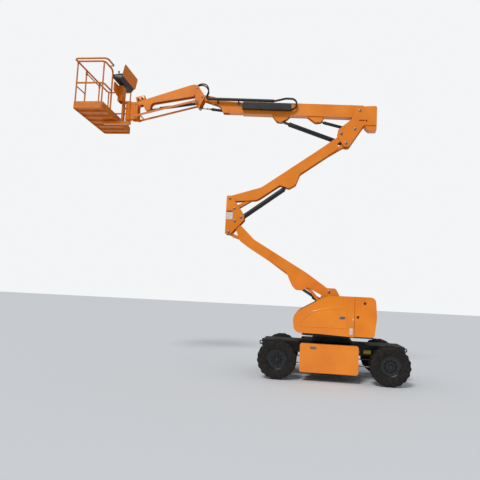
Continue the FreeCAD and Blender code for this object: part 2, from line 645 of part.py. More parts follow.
# Posts with a pin for the hinges of the hoods
hinge_y, hinge_z = size.hood_inner - 18, size.hood_top - 23
for x in (-80, 330):
    for side in (-1, 1):
        post = box(x - 20, side * (hinge_y - 25) - 15, x + 20, side * (hinge_y - 25) + 15)
        pad(turret, sketch(turret, "XY_Plane", post, offset=floor_z), "Sizes.hood_top - Sizes.turret_floor - 5",
            both=False)
        pad(turret, sketch(turret, "YZ_Plane", circle(side * hinge_y, hinge_z, 18), offset=x - 20), "40", both=False)
        pad(turret, sketch(turret, "YZ_Plane", circle(side * hinge_y, hinge_z, size.cover_pin_radius + 1),
                           offset=x - 20), "82", both=False)

# Counterweight: casting with a recess behind the hoods
weight = body("counterweight")
rear_x, seam_x = size.counterweight_rear, size.hood_rear + size.seam
weight_outline = [(seam_x, floor_z, 0), (rear_x - 45, floor_z, 60), (rear_x, floor_z + 395, 500),
                  (rear_x - 30, size.hood_top, 110), (seam_x, size.hood_top, 0)]
pad(weight, sketch(weight, "XZ_Plane", rounded(weight_outline)), "2 * Sizes.hood_outer")
inside_x = rear_x - size.counterweight_wall
hollow = [(size.hood_rear, size.hood_bottom + 120, 0), (inside_x, size.hood_bottom + 120, 0),
          (inside_x, size.hood_top - 60, 60), (size.hood_rear, size.hood_top - 60, 0)]
pocket(weight, sketch(weight, "XZ_Plane", rounded(hollow)), "2 * Sizes.hood_outer - 2 * Sizes.counterweight_cheek")
channel = [(size.hood_rear, size.hood_top - 330, 0), (rear_x - 230, size.hood_top - 330, 60),
           (rear_x - 150, size.hood_top + 50, 0), (size.hood_rear, size.hood_top + 50, 0)]
pocket(weight, sketch(weight, "XZ_Plane", rounded(channel)), "2 * Sizes.hood_inner")

# Hoods: moulded shells over both halves of the turret
nose, bottom, wall = size.hood_nose, size.hood_bottom, size.cover_wall
hood_outline = [(size.hood_rear, bottom - 30, 0), (size.hood_rear, size.hood_top, 0),
                (nose + 710, size.hood_top, 650), (nose, bottom + 375, 240), (nose + 45, bottom, 140),
                (-300, bottom, 0)]
hood_inside = [(size.hood_rear + 20, bottom - 90, 0), (size.hood_rear + 20, size.hood_top - wall, 0),
               (nose + 707, size.hood_top - wall, 650 - wall), (nose + wall, bottom + 371, 240 - wall),
               (nose + 47 + wall, bottom - 90, 0)]
for label, side in (("hood_left", -1), ("hood_right", 1)):
    hood = body(label)
    face = -side * size.hood_outer
    shell = pad(hood, sketch(hood, "XZ_Plane", rounded(hood_outline), offset=face),
                "Sizes.hood_outer - Sizes.hood_inner", both=False)
    shell.Reversed = side < 0
    cut = pocket(hood, sketch(hood, "XZ_Plane", rounded(hood_inside), offset=face + side * wall),
                 "Sizes.hood_outer - Sizes.hood_inner", both=False)
    cut.Reversed = side > 0
    doc.recompute()
    pin = size.cover_pin_radius + 1
    for x in (-80, 330):
        tab = box(side * (hinge_y + 24) - 24, hinge_z - 12, side * (hinge_y + 24) + 24, size.hood_top - 6)
        pad(hood, sketch(hood, "YZ_Plane", tab, offset=x + 22), "38", both=False)
        pad(hood, sketch(hood, "YZ_Plane", circle(side * hinge_y, hinge_z, 17), offset=x + 22), "38", both=False)
        pocket(hood, sketch(hood, "YZ_Plane", circle(side * hinge_y, hinge_z, pin + size.pin_fit), offset=x + 41), "60")

# Motor, pump and oil tank as plain blocks under the hoods
blocks = body("power_block")
near, far = size.hood_inner + 75, size.hood_outer - 110
for side in (-1, 1):
    block = box(nose + 280, min(side * near, side * far), size.hood_rear - 85, max(side * near, side * far), 30)
    pad(blocks, sketch(blocks, "XY_Plane", block, offset=floor_z), "Sizes.block_height", both=False)

# Riser arms: open-bottomed plate boxes with bossed eyes; x from the near pin or from the far one
boss = size.boss_radius
ARM_OUTLINES = {
    "lower_arm": [("near", 60, 45, 55), ("near", -640, 40, 300), ("far", 613, -72, 150), ("far", 133, 10, 100),
                  ("far", -boss, boss, boss - 1), ("far", -boss, -boss, boss - 1), ("far", 133, -140, 30),
                  ("far", 363, -292, 100), ("far", 628, -290, 300), ("near", -1001, -225, 60),
                  ("near", -720, -385, 60), ("near", -600, -410, 80), ("near", -480, -330, 0),
                  ("near", -433, -202, 60), ("near", 0, -142, 50), ("near", 70, -70, 50)],
    "upper_arm": [("near", 30, boss - 1, 40), ("near", 748, -139, 200), ("far", -676, -63, 300),
                  ("far", -93, -23, 20), ("far", -32, boss, 50), ("far", boss, boss, boss - 1),
                  ("far", boss, -boss, boss - 1), ("far", -95, -150, 40), ("far", -182, -150, 20),
                  ("far", -238, -262, 60), ("near", 1653, -320, 100),
                  ("near", 1446, -480, 60), ("near", 1272, -480, 60), ("near", 1134, -309, 60),
                  ("near", 515, -342, 300), ("near", 81, -113, 60), ("near", -boss, -boss, boss - 1),
                  ("near", -boss, boss - 1, boss - 1)],
}
ARM_HOLLOWS = {
    "lower_arm": [("near", 100, 37, 0), ("near", -640, 32, 300), ("far", 613, -80, 150), ("far", 323, -40, 0),
                  ("far", 323, 200, 0), ("far", -127, 200, 0), ("far", -127, -600, 0), ("near", 100, -600, 0)],
    "upper_arm": [("near", -100, 84, 0), ("near", 748, -148, 200), ("far", -676, -72, 300), ("far", -472, -60, 0),
                  ("far", -472, 200, 0), ("far", 188, 200, 0), ("far", 188, -700, 0), ("near", -100, -700, 0)],
}
arm_table = [
    # label, origin, far pin x, cylinder eye, angle
    ("lower_arm", lower_pivot, -size.lower_arm_length, LOWER_CYLINDER_EYE, size.lower_arm_angle),
    ("upper_arm", upper_arm_pivot, size.upper_arm_length, UPPER_CYLINDER_EYE, -size.upper_arm_angle),
]


def along(table, far):
    return [(x + (far if end == "far" else 0), z, radius) for end, x, z, radius in table]


for label, origin, far, eye, angle in arm_table:
    arm = body(label)
    pad(arm, sketch(arm, "XZ_Plane", rounded(along(ARM_OUTLINES[label], far))), "Sizes.arm_width")
    pocket(arm, sketch(arm, "XZ_Plane", rounded(along(ARM_HOLLOWS[label], far))),
           "Sizes.arm_width - 2 * Sizes.arm_wall")
    for x in (0, far):
        pad_pair(arm, circle(x, 0, boss), size.plate_gap / 2 - 2 - size.boss_length, "Sizes.boss_length")
    pad_pair(arm, circle(*eye, 42), size.eye_gap / 2, "Sizes.arm_width / 2 - Sizes.eye_gap / 2 - 3")
    for x in (0, far):
        pocket(arm, sketch(arm, "XZ_Plane", circle(x, 0, size.pin_radius + size.pin_fit)), "2 * Sizes.arm_width")
    place(arm, origin, angle)

# Riser links: two bars joined by a cross tube
link_table = [
    # label, origin, far pin x, crank, cross tube from the far pin, angle
    ("lower_link", lower_link_pivot, -size.lower_arm_length, size.lower_link_crank, 1133, size.lower_arm_angle),
    ("upper_link", upper_link_pivot, size.upper_arm_length, 0, -912, -size.upper_arm_angle),
]
for label, origin, far, crank, tie_x, angle in link_table:
    link = body(label)
    way = 1 if far > 0 else -1
    half = size.link_depth / 2
    top_edge = [(-way * 45, 45, 38), (way * 120, 42, 60), (way * 343, crank + half, 100),
                (far - way * 343, crank + half, 100), (far - way * 120, 42, 60), (far + way * 45, 45, 38)]
    low_edge = [(far + way * 45, -45, 38), (far - way * 133, -half, 60), (far - way * 343, crank - half, 100),
                (way * 343, crank - half, 100), (way * 133, -half, 60), (-way * 45, -45, 38)]
    outline = top_edge + low_edge
    if way > 0:
        outline = outline[::-1]
    pad(link, sketch(link, "XZ_Plane", rounded(outline)), "Sizes.link_gap + 2 * Sizes.link_bar")
    clear = box(min(far, 0) - 200, -600, max(far, 0) + 200, 600)
    pocket(link, sketch(link, "XZ_Plane", clear, circle(far + tie_x, crank, 22)), "Sizes.link_gap")
    for x in (0, far):
        pocket(link, sketch(link, "XZ_Plane", circle(x, 0, size.pin_radius + size.pin_fit)), "2 * Sizes.arm_width")
    place(link, origin, angle)

# Riser knuckle: two plates with a back plate between the arms
pins_wide = "Sizes.plate_gap + 2 * Sizes.plate + 2 * Sizes.pin_head"
knuckle = body("riser_knuckle")
back = size.upper_arm_x - 78
knuckle_top, knuckle_low = size.upper_arm_z + 68, size.lower_link_z - 45
outline = [(back, knuckle_top, 30), (back + 112, knuckle_top, 60), (211, 130, 70), (205, 30, 60),
           (size.lower_link_x + 34, knuckle_low, 60), (back, knuckle_low - 2, 30)]
pad(knuckle, sketch(knuckle, "XZ_Plane", rounded(outline)), "Sizes.plate_gap + 2 * Sizes.plate")
pocket(knuckle, sketch(knuckle, "XZ_Plane", box(back + 12, knuckle_low - 100, 400, knuckle_top + 100)),
       "Sizes.plate_gap")
for x, z in ((0, 0), lower_link_step, upper_arm_step, shift(upper_arm_step, upper_link_step), UPPER_CYLINDER_STEP):
    pad(knuckle, sketch(knuckle, "XZ_Plane", circle(x, z, size.pin_radius)), pins_wide)
place(knuckle, knuckle_point)

# Upright: two plates that carry the main boom, the link and two cylinders, with a box behind the boom
upright = body("upright")
bx, bz = boom_pivot_step
lx, lz = upper_link_step
outline = [(bx - 89, bz + 95, 60), (bx - 200, bz - 256, 80), (lx - 85, lz + 25, 60), (lx - 50, lz - 70, 60),
           (lx + 70, lz - 70, 60), (bx + 96, bz - 333, 60), (bx + 375, bz - 333, 12), (bx + 375, bz + 110, 40)]
ear = [(-80, 80, 75), (-80, -80, 75), (lx - 50, lz - 70, 60), (lx + 70, lz - 70, 60), (400, 60, 60),
       (300, 400, 60), (180, 300, 60)]
pad(upright, sketch(upright, "XZ_Plane", rounded(outline)), "Sizes.plate_gap + 2 * Sizes.plate")
pad(upright, sketch(upright, "XZ_Plane", rounded(ear)), "Sizes.plate_gap + 2 * Sizes.pin_head")
clear = [(-200, lz - 270, 0), (bx + 93, lz - 270, 0), (bx + 93, bz - 315, 0), (bx + 356, bz - 315, 0),
         (bx + 356, bz + 270, 0), (-200, bz + 270, 0)]
pocket(upright, sketch(upright, "XZ_Plane", rounded(clear)), "Sizes.plate_gap")
tail_box = [(bx + 130, bz - 300, 0), (bx + 120, bz - 370, 20), (bx + 200, bz - 448, 20), (bx + 375, bz - 448, 12),
            (bx + 375, bz - 300, 0)]
pad(upright, sketch(upright, "XZ_Plane", rounded(tail_box)), "Sizes.plate_gap")
for x, z in ((0, 0), upper_link_step, MASTER_STEP, boom_pivot_step):
    pad(upright, sketch(upright, "XZ_Plane", circle(x, z, size.pin_radius)), pins_wide)
pocket(upright, sketch(upright, "XZ_Plane", circle(0, 0, size.pin_radius + 5)), "Sizes.link_gap - 4")
slot = box(bx - 21, bz - 237, bx + 107, bz - 213, 11)
pocket(upright, sketch(upright, "XZ_Plane", slot, circle(bx + 148, bz - 233, 22)), "3 * Sizes.plate_gap")
place(upright, upright_point)

# Outer boom: open box on the upright's top pin, with brackets for two cylinders
boom = body("boom_outer")
middle = -size.boom_drop
low, high = middle - size.boom_depth / 2, middle + size.boom_depth / 2
front, tail, wall = -size.boom_front, size.boom_tail, size.boom_wall
inner_half, inner_side = size.inner_depth / 2, size.inner_width / 2
gap = size.seat_gap
side_view = [(tail, low, 90), (tail, high, 90), (front, high, 0), (front, low, 0)]
pad(boom, sketch(boom, "XZ_Plane", rounded(side_view)), "Sizes.boom_width")
pocket(boom, sketch(boom, "XZ_Plane", box(tail + 50, low + wall, front - 50, high - wall)),
       "Sizes.boom_width - 2 * Sizes.boom_wall")
pad(boom, sketch(boom, "XZ_Plane", circle(0, 0, 95)), "Sizes.plate_gap - 4")
pocket(boom, sketch(boom, "XZ_Plane", circle(0, 0, 120)), "Sizes.boom_width - 2 * Sizes.boom_wall")
pad(boom, sketch(boom, "YZ_Plane", box(wall - size.boom_width / 2 - 1, low + 5, size.boom_width / 2 - wall + 1, high - 5),
                 box(-inner_side - gap, middle - inner_half - gap, inner_side + gap, middle + inner_half + gap),
                 offset=front), "80", both=False)
seat = low + wall / 2
for table in ([(-1995, seat, 0), (-1866, -300, 60), (-1758, -310, 50), (-1636, -230, 60), (-1560, seat, 0)],
              [(-1190, seat, 0), (-985, -290, 60), (-850, -275, 50), (-790, seat, 0)]):
    pad_pair(boom, rounded(table), size.bracket_gap / 2, "Sizes.bracket_plate")
pocket(boom, sketch(boom, "XZ_Plane", circle(0, 0, size.pin_radius + size.pin_fit)), "2 * Sizes.boom_width")
place(boom, boom_pivot, size.boom_angle)

# Inner boom: slides in the outer boom and carries the jib on its head
inner = body("boom_inner")
low, high = middle - inner_half, middle + inner_half
front, tail, wall = -inner_front, -size.inner_tail, size.inner_wall
rim_y, rim_z = size.boom_width / 2 - size.boom_wall - gap, size.boom_depth / 2 - size.boom_wall - gap
pad(inner, sketch(inner, "XZ_Plane", box(tail, low, front, high)), "Sizes.inner_width")
pocket(inner, sketch(inner, "XZ_Plane", box(tail + 50, low + wall, front - 50, high - wall)),
       "Sizes.inner_width - 2 * Sizes.inner_wall")
pad(inner, sketch(inner, "YZ_Plane", box(-rim_y, middle - rim_z, rim_y, middle + rim_z),
                  box(2 - inner_side, low + 2, inner_side - 2, high - 2), offset=tail - 80), "80", both=False)
jx, jz = JIB_PIVOT
head_start = -size.boom_front - 40
head_outline = [(head_start, high + 14, 0), (head_start, low - 10, 0), (front + 60, low - 12, 40),
                (front - 12, low - 10, 40), (front - 50, low + 100, 50), (front - 160, jz - 156, 60),
                (jx + 30, jz - 60, 50), (jx - 68, jz - 30, 50), (jx - 34, jz + 59, 55), (jx + 66, jz + 61, 55),
                (jx + 270, jz + 31, 80), (jx + 560, high + 34, 80)]
pad(inner, sketch(inner, "XZ_Plane", rounded(head_outline)), "Sizes.inner_width")
head_clear = [(head_start - 15, high + 6, 0), (head_start - 15, low - 6, 0), (front + 140, low - 6, 0),
              (front + 140, low - 250, 0), (jx - 240, low - 250, 0), (jx - 240, jz + 49, 0), (jx + 66, jz + 49, 45),
              (jx + 266, jz + 20, 70), (jx + 556, high + 24, 70)]
pocket(inner, sketch(inner, "XZ_Plane", rounded(head_clear)), "Sizes.inner_width - 2 * Sizes.head_plate")
pad(inner, sketch(inner, "XZ_Plane", circle(jx, jz, size.pin_radius)), "Sizes.jib_base_gap + 28")
pad(inner, sketch(inner, "XZ_Plane", circle(*SLAVE_BASE, size.jib_pin_radius)), "Sizes.inner_width + 16")
pad(inner, sketch(inner, "XZ_Plane", circle(jx + 260, jz - 110, 26)), "Sizes.inner_width - 10")
place(inner, boom_pivot, size.boom_angle)

# Cylinders: a barrel on its base pin and a rod that ends in an eye
CYLINDERS = [
    # name, base, eye, way in, way out, barrel, rod, eye, base pin, eye pin, width
    ("lower_cylinder", LOWER_CYLINDER_BASE, lower_eye, 335, 180, 55, 32, 50, "pin_radius", 24, 100),
    ("upper_cylinder", upper_cylinder_base, upper_eye, 110, 290, 55, 32, 50, "pin_radius", 24, 100),
    ("lift_cylinder", upright_tip, lift_eye, 160, 900, 52, 30, 48, "pin_radius", 24, 100),
    ("master_cylinder", master_base, master_eye, 90, 480, 35, 20, 42, "pin_radius", 18, 80),
    ("jib_cylinder", jib_link_pivot, jib_eye, 232, 385, 35, 20, 38, "jib_pin_radius", 16, 76),
    ("slave_cylinder", slave_base, slave_point, 246, 43, 32, 18, 38, "jib_pin_radius", 16, 70),
]
for name, base, eye, way_in, way_out, radius, rod_radius, eye_radius, pin_name, eye_pin, width in CYLINDERS:
    length = math.dist(base, eye)
    angle = -math.degrees(math.atan2(eye[1] - base[1], eye[0] - base[0]))
    pin = getattr(size, pin_name) + size.pin_fit
    start = eye_radius * 0.7
    end = length - way_in - eye_radius - 25
    bore, bush = radius - 7, rod_radius + gap
    barrel = body(name + "_barrel")
    profile = [(start, 0), (start, radius), (end, radius), (end, bush), (end - 35, bush), (end - 35, bore),
               (start + 25, bore), (start + 25, 0)]
    revolve(barrel, sketch(barrel, "XZ_Plane", rounded([(x, z, 0) for x, z in profile])))
    pad(barrel, sketch(barrel, "XZ_Plane", circle(0, 0, eye_radius)), width)
    pocket(barrel, sketch(barrel, "XZ_Plane", circle(0, 0, pin)), width + 20)
    place(barrel, base, angle)
    rod = body(name + "_rod")
    piston = start + 32 + way_in
    if piston + way_out + 30 > end - 37:
        raise RuntimeError(f"{name}: barrel too short for its stroke")
    neck = length - 0.6 * eye_radius
    profile = [(piston, 0), (piston, bore - gap), (piston + 30, bore - gap), (piston + 30, rod_radius),
               (neck, rod_radius), (neck, 0)]
    revolve(rod, sketch(rod, "XZ_Plane", rounded([(x, z, 0) for x, z in profile])))
    pad(rod, sketch(rod, "XZ_Plane", circle(length, 0, eye_radius * 0.76)), width)
    pad(rod, sketch(rod, "XZ_Plane", circle(length, 0, eye_pin)), width + 16)
    place(rod, base, angle)

# Cable carrier on the near side of the boom: trough, tube and the moving loop of the chain
turn_x = -size.boom_front + size.trough_length - 10
lower_level = middle + 94 - size.chain_bend
upper_level = lower_level + 2 * size.chain_bend
trough = body("cable_trough")
near, wall = size.boom_width / 2, size.trough_wall
floor = lower_level - size.chain_depth / 2 - gap
trough_rear = -size.boom_front + size.trough_length
outline = box(-size.boom_front, floor - wall, trough_rear, floor - wall + size.trough_height)
inside = box(-size.boom_front - 20, floor, trough_rear + 50, floor + size.trough_height)
pad(trough, sketch(trough, "XZ_Plane", outline, offset=near), "Sizes.trough_width", both=False)
pocket(trough, sketch(trough, "XZ_Plane", inside, offset=near + size.trough_width - wall),
       "Sizes.trough_width - 2 * Sizes.trough_wall", both=False)
place(trough, boom_pivot, size.boom_angle)

cable_tube = body("cable_tube")
tube_front = jx + 156
tube_rear = tube_front + size.tube_length
ring = (-size.chain_middle, size.tube_level)
pad(cable_tube, sketch(cable_tube, "YZ_Plane", circle(*ring, size.tube_radius), offset=tube_front),
    "Sizes.tube_length", both=False)
clip_low = size.tube_level - size.tube_radius
clip = [(-inner_side - gap, clip_low - 55, 0), (-inner_side - gap, clip_low - 5, 0),
        (ring[0] + 25, size.tube_level + 15, 0), (ring[0], size.tube_level, 0), (ring[0] + 10, clip_low + 5, 0),
        (-inner_side - 14, clip_low - 55, 0)]
for x in (-inner_front - 150, -size.boom_front - 120):
    pad(cable_tube, sketch(cable_tube, "YZ_Plane", rounded(clip), offset=x), "30", both=False)
bore = pocket(cable_tube, sketch(cable_tube, "YZ_Plane", circle(*ring, size.tube_radius - size.tube_wall),
                                 offset=tube_front - 10), "Sizes.tube_length + 20", both=False)
bore.Reversed = True
place(cable_tube, boom_pivot, size.boom_angle)

# The chain leaves the tube, rises to the top of its loop and comes back along the trough's floor
chain_y = -size.chain_middle
loop_x = turn_x + size.chain_bend + 1
chain_path = [(tube_rear - size.chain_overlap, chain_y, size.tube_level), (tube_rear + 20, chain_y, size.tube_level),
              (turn_x - 130, chain_y, upper_level), (loop_x, chain_y, upper_level), (loop_x, chain_y, lower_level),
              (turn_x - 250, chain_y, lower_level)]
start = V(*chain_path[0])
wide, deep = size.chain_width / 2, size.chain_depth / 2
section = [start + V(0, y, z) for y, z in ((-wide, -deep), (wide, -deep), (wide, deep), (-wide, deep))]
loop = path_wire(chain_path, size.chain_bend - 1).makePipeShell([Part.makePolygon(section + section[:1])], True, False)
feature("cable_chain", loop, FreeCAD.Placement(V(boom_pivot[0], 0, boom_pivot[1]),
                                               FreeCAD.Rotation(CROSS_AXIS, size.boom_angle)))

# Jib base: levelled plates on the boom head
base = body("jib_base")
ax, az = JIB_ARM_STEP
lx, lz = JIB_LINK_STEP
sx, sz = SLAVE_STEP
outline = [(ax + 43, az + 35, 30), (ax - 38, az + 35, 30), (lx - 44, lz - 28, 30), (sx - 25, sz - 20, 30),
           (sx + 15, sz - 40, 30), (30, -60, 60), (40, 60, 40)]
everywhere = box(-400, -400, 400, 400)
pad(base, sketch(base, "XZ_Plane", rounded(outline)), "Sizes.jib_base_gap + 2 * Sizes.jib_plate")
pocket(base, sketch(base, "XZ_Plane", everywhere), "Sizes.jib_base_gap")
pad(base, sketch(base, "XZ_Plane", circle(0, 0, 58)), "Sizes.jib_base_gap + 2 * Sizes.jib_plate")
pocket(base, sketch(base, "XZ_Plane", circle(0, 0, 70)), "Sizes.jib_base_gap")
pocket(base, sketch(base, "XZ_Plane", circle(0, 0, size.pin_radius + size.pin_fit)), "2 * Sizes.jib_base_gap")
pad(base, sketch(base, "XZ_Plane", circle(ax, az, size.jib_pin_radius)), "Sizes.jib_base_gap + 42")
pad(base, sketch(base, "XZ_Plane", circle(lx, lz, size.jib_pin_radius)),
    "Sizes.jib_link_spread + Sizes.jib_link_size + 2")
pad_pair(base, circle(sx, sz, 28), 45, "Sizes.jib_base_gap / 2 + 1 - 45")
place(base, jib_base_point)

# Jib arm: tapered box
jib = body("jib_arm")
far = -size.jib_length
ex, ez = JIB_CYLINDER_EYE
outline = [(50, 62, 48), (50, -60, 45), (-120, -150, 60), (ex + 97, -60, 100), (ex + 62, ez - 33, 40),
           (ex - 63, ez - 33, 40), (ex - 83, -40, 40), (far - 45, -45, 44), (far - 45, 45, 44),
           (far + 330, 66, 100), (-150, 128, 80), (-40, 122, 50)]
pad(jib, sketch(jib, "XZ_Plane", rounded(outline[::-1])), "Sizes.jib_width")
hollow = [(-150, 120, 0), (-120, -140, 0), (ex + 97, -52, 0), (ex - 83, -34, 0), (far + 90, -38, 0),
          (far + 90, 40, 0), (far + 330, 58, 0)]
pocket(jib, sketch(jib, "XZ_Plane", rounded(hollow)), "Sizes.jib_width - 2 * Sizes.jib_wall")
slot = [(0, -45, 0), (0, -400, 0), (far + 60, -400, 0), (far + 60, -30, 0)]
pocket(jib, sketch(jib, "XZ_Plane", rounded(slot)), "100")
for x in (0, far):
    pocket(jib, sketch(jib, "XZ_Plane", circle(x, 0, size.jib_pin_radius + size.pin_fit)), "2 * Sizes.jib_width")
place(jib, jib_arm_pivot, -size.jib_angle)

# Jib link: two tubes beside the arm
link = body("jib_link")
half = size.jib_link_size / 2
outline = [(34, 34, 28), (34, -34, 28), (-80, -half, 0), (far + 80, -half, 0), (far - 34, -34, 28),
           (far - 34, 34, 28), (far + 80, half, 0), (-80, half, 0)]
pad(link, sketch(link, "XZ_Plane", rounded(outline[::-1])), "Sizes.jib_link_spread + Sizes.jib_link_size")
clear = box(200, -100, far - 200, 100)
pocket(link, sketch(link, "XZ_Plane", clear, circle(far + 130, 0, 15)), "Sizes.jib_link_spread - Sizes.jib_link_size")
for x in (0, far):
    pocket(link, sketch(link, "XZ_Plane", circle(x, 0, size.jib_pin_radius + size.pin_fit)),
           "2 * Sizes.jib_link_spread")
place(link, jib_link_pivot, -size.jib_angle)

# Jib head: plates from the arm and link to the basket rotator
head = body("jib_head")
dx, dz = (JIB_LINK_STEP[0] - JIB_ARM_STEP[0], JIB_LINK_STEP[1] - JIB_ARM_STEP[1])
axis_x = -size.rotator_reach
outline = [(45, 45, 44), (60, dz, 60), (40, dz - 45, 44), (-60, dz - 45, 44), (axis_x, -350, 30),
           (axis_x, 40, 30), (-60, 45, 30)]
pad(head, sketch(head, "XZ_Plane", rounded(outline)), "Sizes.jib_head_gap + 2 * Sizes.jib_plate")
pocket(head, sketch(head, "XZ_Plane", box(-92, -500, 200, 200)), "Sizes.jib_head_gap")
pocket(head, sketch(head, "XZ_Plane", box(-118, -500, -size.rotator_reach - 200, 200)), "2 * Sizes.jib_head_gap")
pad(head, sketch(head, "XZ_Plane", circle(0, 0, size.jib_pin_radius)), "Sizes.jib_head_gap + 56")
pad(head, sketch(head, "XZ_Plane", circle(dx, dz, size.jib_pin_radius)),
    "Sizes.jib_link_spread + Sizes.jib_link_size + 2")
pocket(head, sketch(head, "XZ_Plane", circle(dx, dz, size.jib_pin_radius + 5)), "Sizes.jib_head_gap")
rotator_low = 48 - size.rotator_height
pad(head, sketch(head, "XY_Plane", circle(axis_x, 0, size.rotator_radius), offset=rotator_low),
    "Sizes.rotator_height", both=False)
pocket(head, sketch(head, "XY_Plane", circle(axis_x, 0, size.rotator_shaft + size.pin_fit)),
       "3 * Sizes.rotator_height")
place(head, jib_head_point)

# Basket carrier: turns on the rotator and runs under the basket floor
mount = body("basket_mount")
axis_x = jib_head_point[0] - size.rotator_reach
head_z = jib_head_point[1]
basket_rear = axis_x - size.basket_gap
basket_front = basket_rear - size.basket_depth
under = head_z - size.floor_drop
half = size.rotator_radius - 20
beam_low = under - size.seat_gap - 60
beam = [(axis_x + half, -half, half - 2), (basket_rear - 340, -half, 0), (basket_rear - 340, half, 0),
        (axis_x + half, half, half - 2)]
top_plate = [(axis_x + half, -half, half - 2), (basket_rear + 95, -half, 0), (basket_rear + 95, half, 0),
             (axis_x + half, half, half - 2)]
mast = box(basket_rear + 115, -half, basket_rear + 155, half)
shaft_top = head_z + 48 + 28
pad(mount, sketch(mount, "XY_Plane", rounded(beam[::-1]), offset=beam_low), "60", both=False)
pad(mount, sketch(mount, "XY_Plane", circle(axis_x, 0, size.rotator_shaft), offset=beam_low + 10),
    shaft_top - beam_low - 10, both=False)
pad(mount, sketch(mount, "XY_Plane", rounded(top_plate[::-1]), offset=head_z + 48 + 8), "30", both=False)
pad(mount, sketch(mount, "XY_Plane", mast, offset=beam_low + 40), shaft_top - beam_low - 40, both=False)
panel_top = under + size.console_level - 30
riser = box(basket_rear + 24, -160, basket_rear + 144, 60)
riser_in = box(basket_rear + 34, -150, basket_rear + 134, 50)
pad(mount, sketch(mount, "XY_Plane", riser, riser_in, offset=head_z + 56), panel_top - head_z - 56, both=False)
panel = [(-410, panel_top - 210, 30), (-160, panel_top - 260, 0), (60, panel_top - 260, 0), (60, panel_top, 0),
         (-410, panel_top, 30)]
pad(mount, sketch(mount, "YZ_Plane", rounded(panel), offset=basket_rear + 8), "20", both=False)

# Basket floor: tray with cross members and toe boards
floor_node = body("basket_floor")
end = size.basket_length / 2
sheet_wall, corner = size.floor_sheet, size.floor_corner
tray = box(basket_front, -end, basket_rear, end, corner)
tray_in = box(basket_front + sheet_wall, sheet_wall - end, basket_rear - sheet_wall, end - sheet_wall,
              corner - sheet_wall)
pad(floor_node, sketch(floor_node, "XY_Plane", tray, offset=under), "Sizes.toe_board", both=False)
pocket(floor_node, sketch(floor_node, "XY_Plane", tray_in, offset=under + size.toe_board + 45),
       "Sizes.toe_board + 45 - Sizes.floor_thickness", both=False)
under_cut = pocket(floor_node, sketch(floor_node, "XY_Plane", tray_in, offset=under),
                   "Sizes.floor_thickness - Sizes.floor_sheet", both=False)
under_cut.Reversed = True
doc.recompute()
for share in (-0.7, -0.35, 0, 0.35, 0.7):
    member = box(basket_front + sheet_wall / 2, share * end - 22, basket_rear - sheet_wall / 2, share * end + 22)
    pad(floor_node, sketch(floor_node, "XY_Plane", member, offset=under),
        "Sizes.floor_thickness - Sizes.floor_sheet / 2", both=False)

# Basket rails: a hand rail round the basket, a second one at the near end, middle rails and posts
inset = sheet_wall + size.seat_gap + size.rail_radius
side_x, boom_x, end_y = basket_front + inset, basket_rear - inset, end - inset
top_z, mid_z, side_z = under + size.rail_height, under + size.mid_rail, under + size.side_rail
base_z = under + size.floor_thickness + size.seat_gap
past_y, past_x = -end_y - size.rail_overhang, boom_x + size.rail_overhang - 28
near_y, far_y = size.rail_post_near, size.rail_post_far
cap_y = near_y - 260
rail_paths = [
    [(past_x, cap_y, top_z), (past_x, past_y, top_z), (side_x, past_y, top_z), (side_x, end_y, top_z),
     (boom_x, end_y, top_z), (boom_x, far_y, top_z), (boom_x, far_y, base_z)],
    [(side_x, -end_y, top_z), (boom_x, -end_y, top_z), (boom_x, near_y, top_z), (boom_x, near_y, base_z)],
    [(side_x, -end_y, mid_z), (boom_x, -end_y, mid_z), (boom_x, near_y, mid_z)],
    [(side_x, size.entry_far, side_z), (side_x, end_y, side_z), (boom_x, end_y, side_z), (boom_x, far_y, side_z)],
]
first_y = -end + corner
bend_in = size.rail_bend * (1 - math.sqrt(0.5))
rails = [tube(path, size.rail_bend, size.rail_radius) for path in rail_paths]
rails.append(bar((past_x, cap_y + 30, top_z), (boom_x, cap_y + 30, top_z), size.post_radius - 3))
rails.append(bar((side_x, first_y, side_z), (side_x, size.entry_near, side_z), size.post_radius - 3))
for x, y in ((side_x, first_y), (side_x, size.entry_near), (side_x, size.entry_far),
             (side_x + bend_in, end_y - bend_in), (boom_x - bend_in, bend_in - end_y),
             (boom_x - bend_in, end_y - bend_in)):
    rails.append(bar((x, y, base_z), (x, y, top_z), size.post_radius))
feature("basket_rails", fused(rails))

# Tread plate on the floor, clear of every post and rail foot
edge_x, edge_y = size.rail_radius + size.deck_inset, corner + size.post_radius + size.deck_inset
plate = box(side_x + edge_x, edge_y - end, boom_x - edge_x, end - edge_y)
pad(floor_node, sketch(floor_node, "XY_Plane", plate, offset=under + size.floor_thickness - size.floor_sheet / 2),
    "Sizes.floor_sheet / 2 + Sizes.deck_plate", both=False)

# Entry bar: slides on the two entry posts
bar_z = under + size.bar_height
sleeve_radius = size.post_radius + 7
pieces = [bar((side_x, size.entry_near, bar_z), (side_x, size.entry_far, bar_z), size.bar_radius)]
for y in (size.entry_near, size.entry_far):
    pieces.append(bar((side_x, y, bar_z - 45), (side_x, y, bar_z + 45), sleeve_radius))
entry_bar = fused(pieces)
for y in (size.entry_near, size.entry_far):
    entry_bar = entry_bar.cut(bar((side_x, y, bar_z - 60), (side_x, y, bar_z + 60), size.post_radius + gap))
feature("entry_bar", entry_bar)

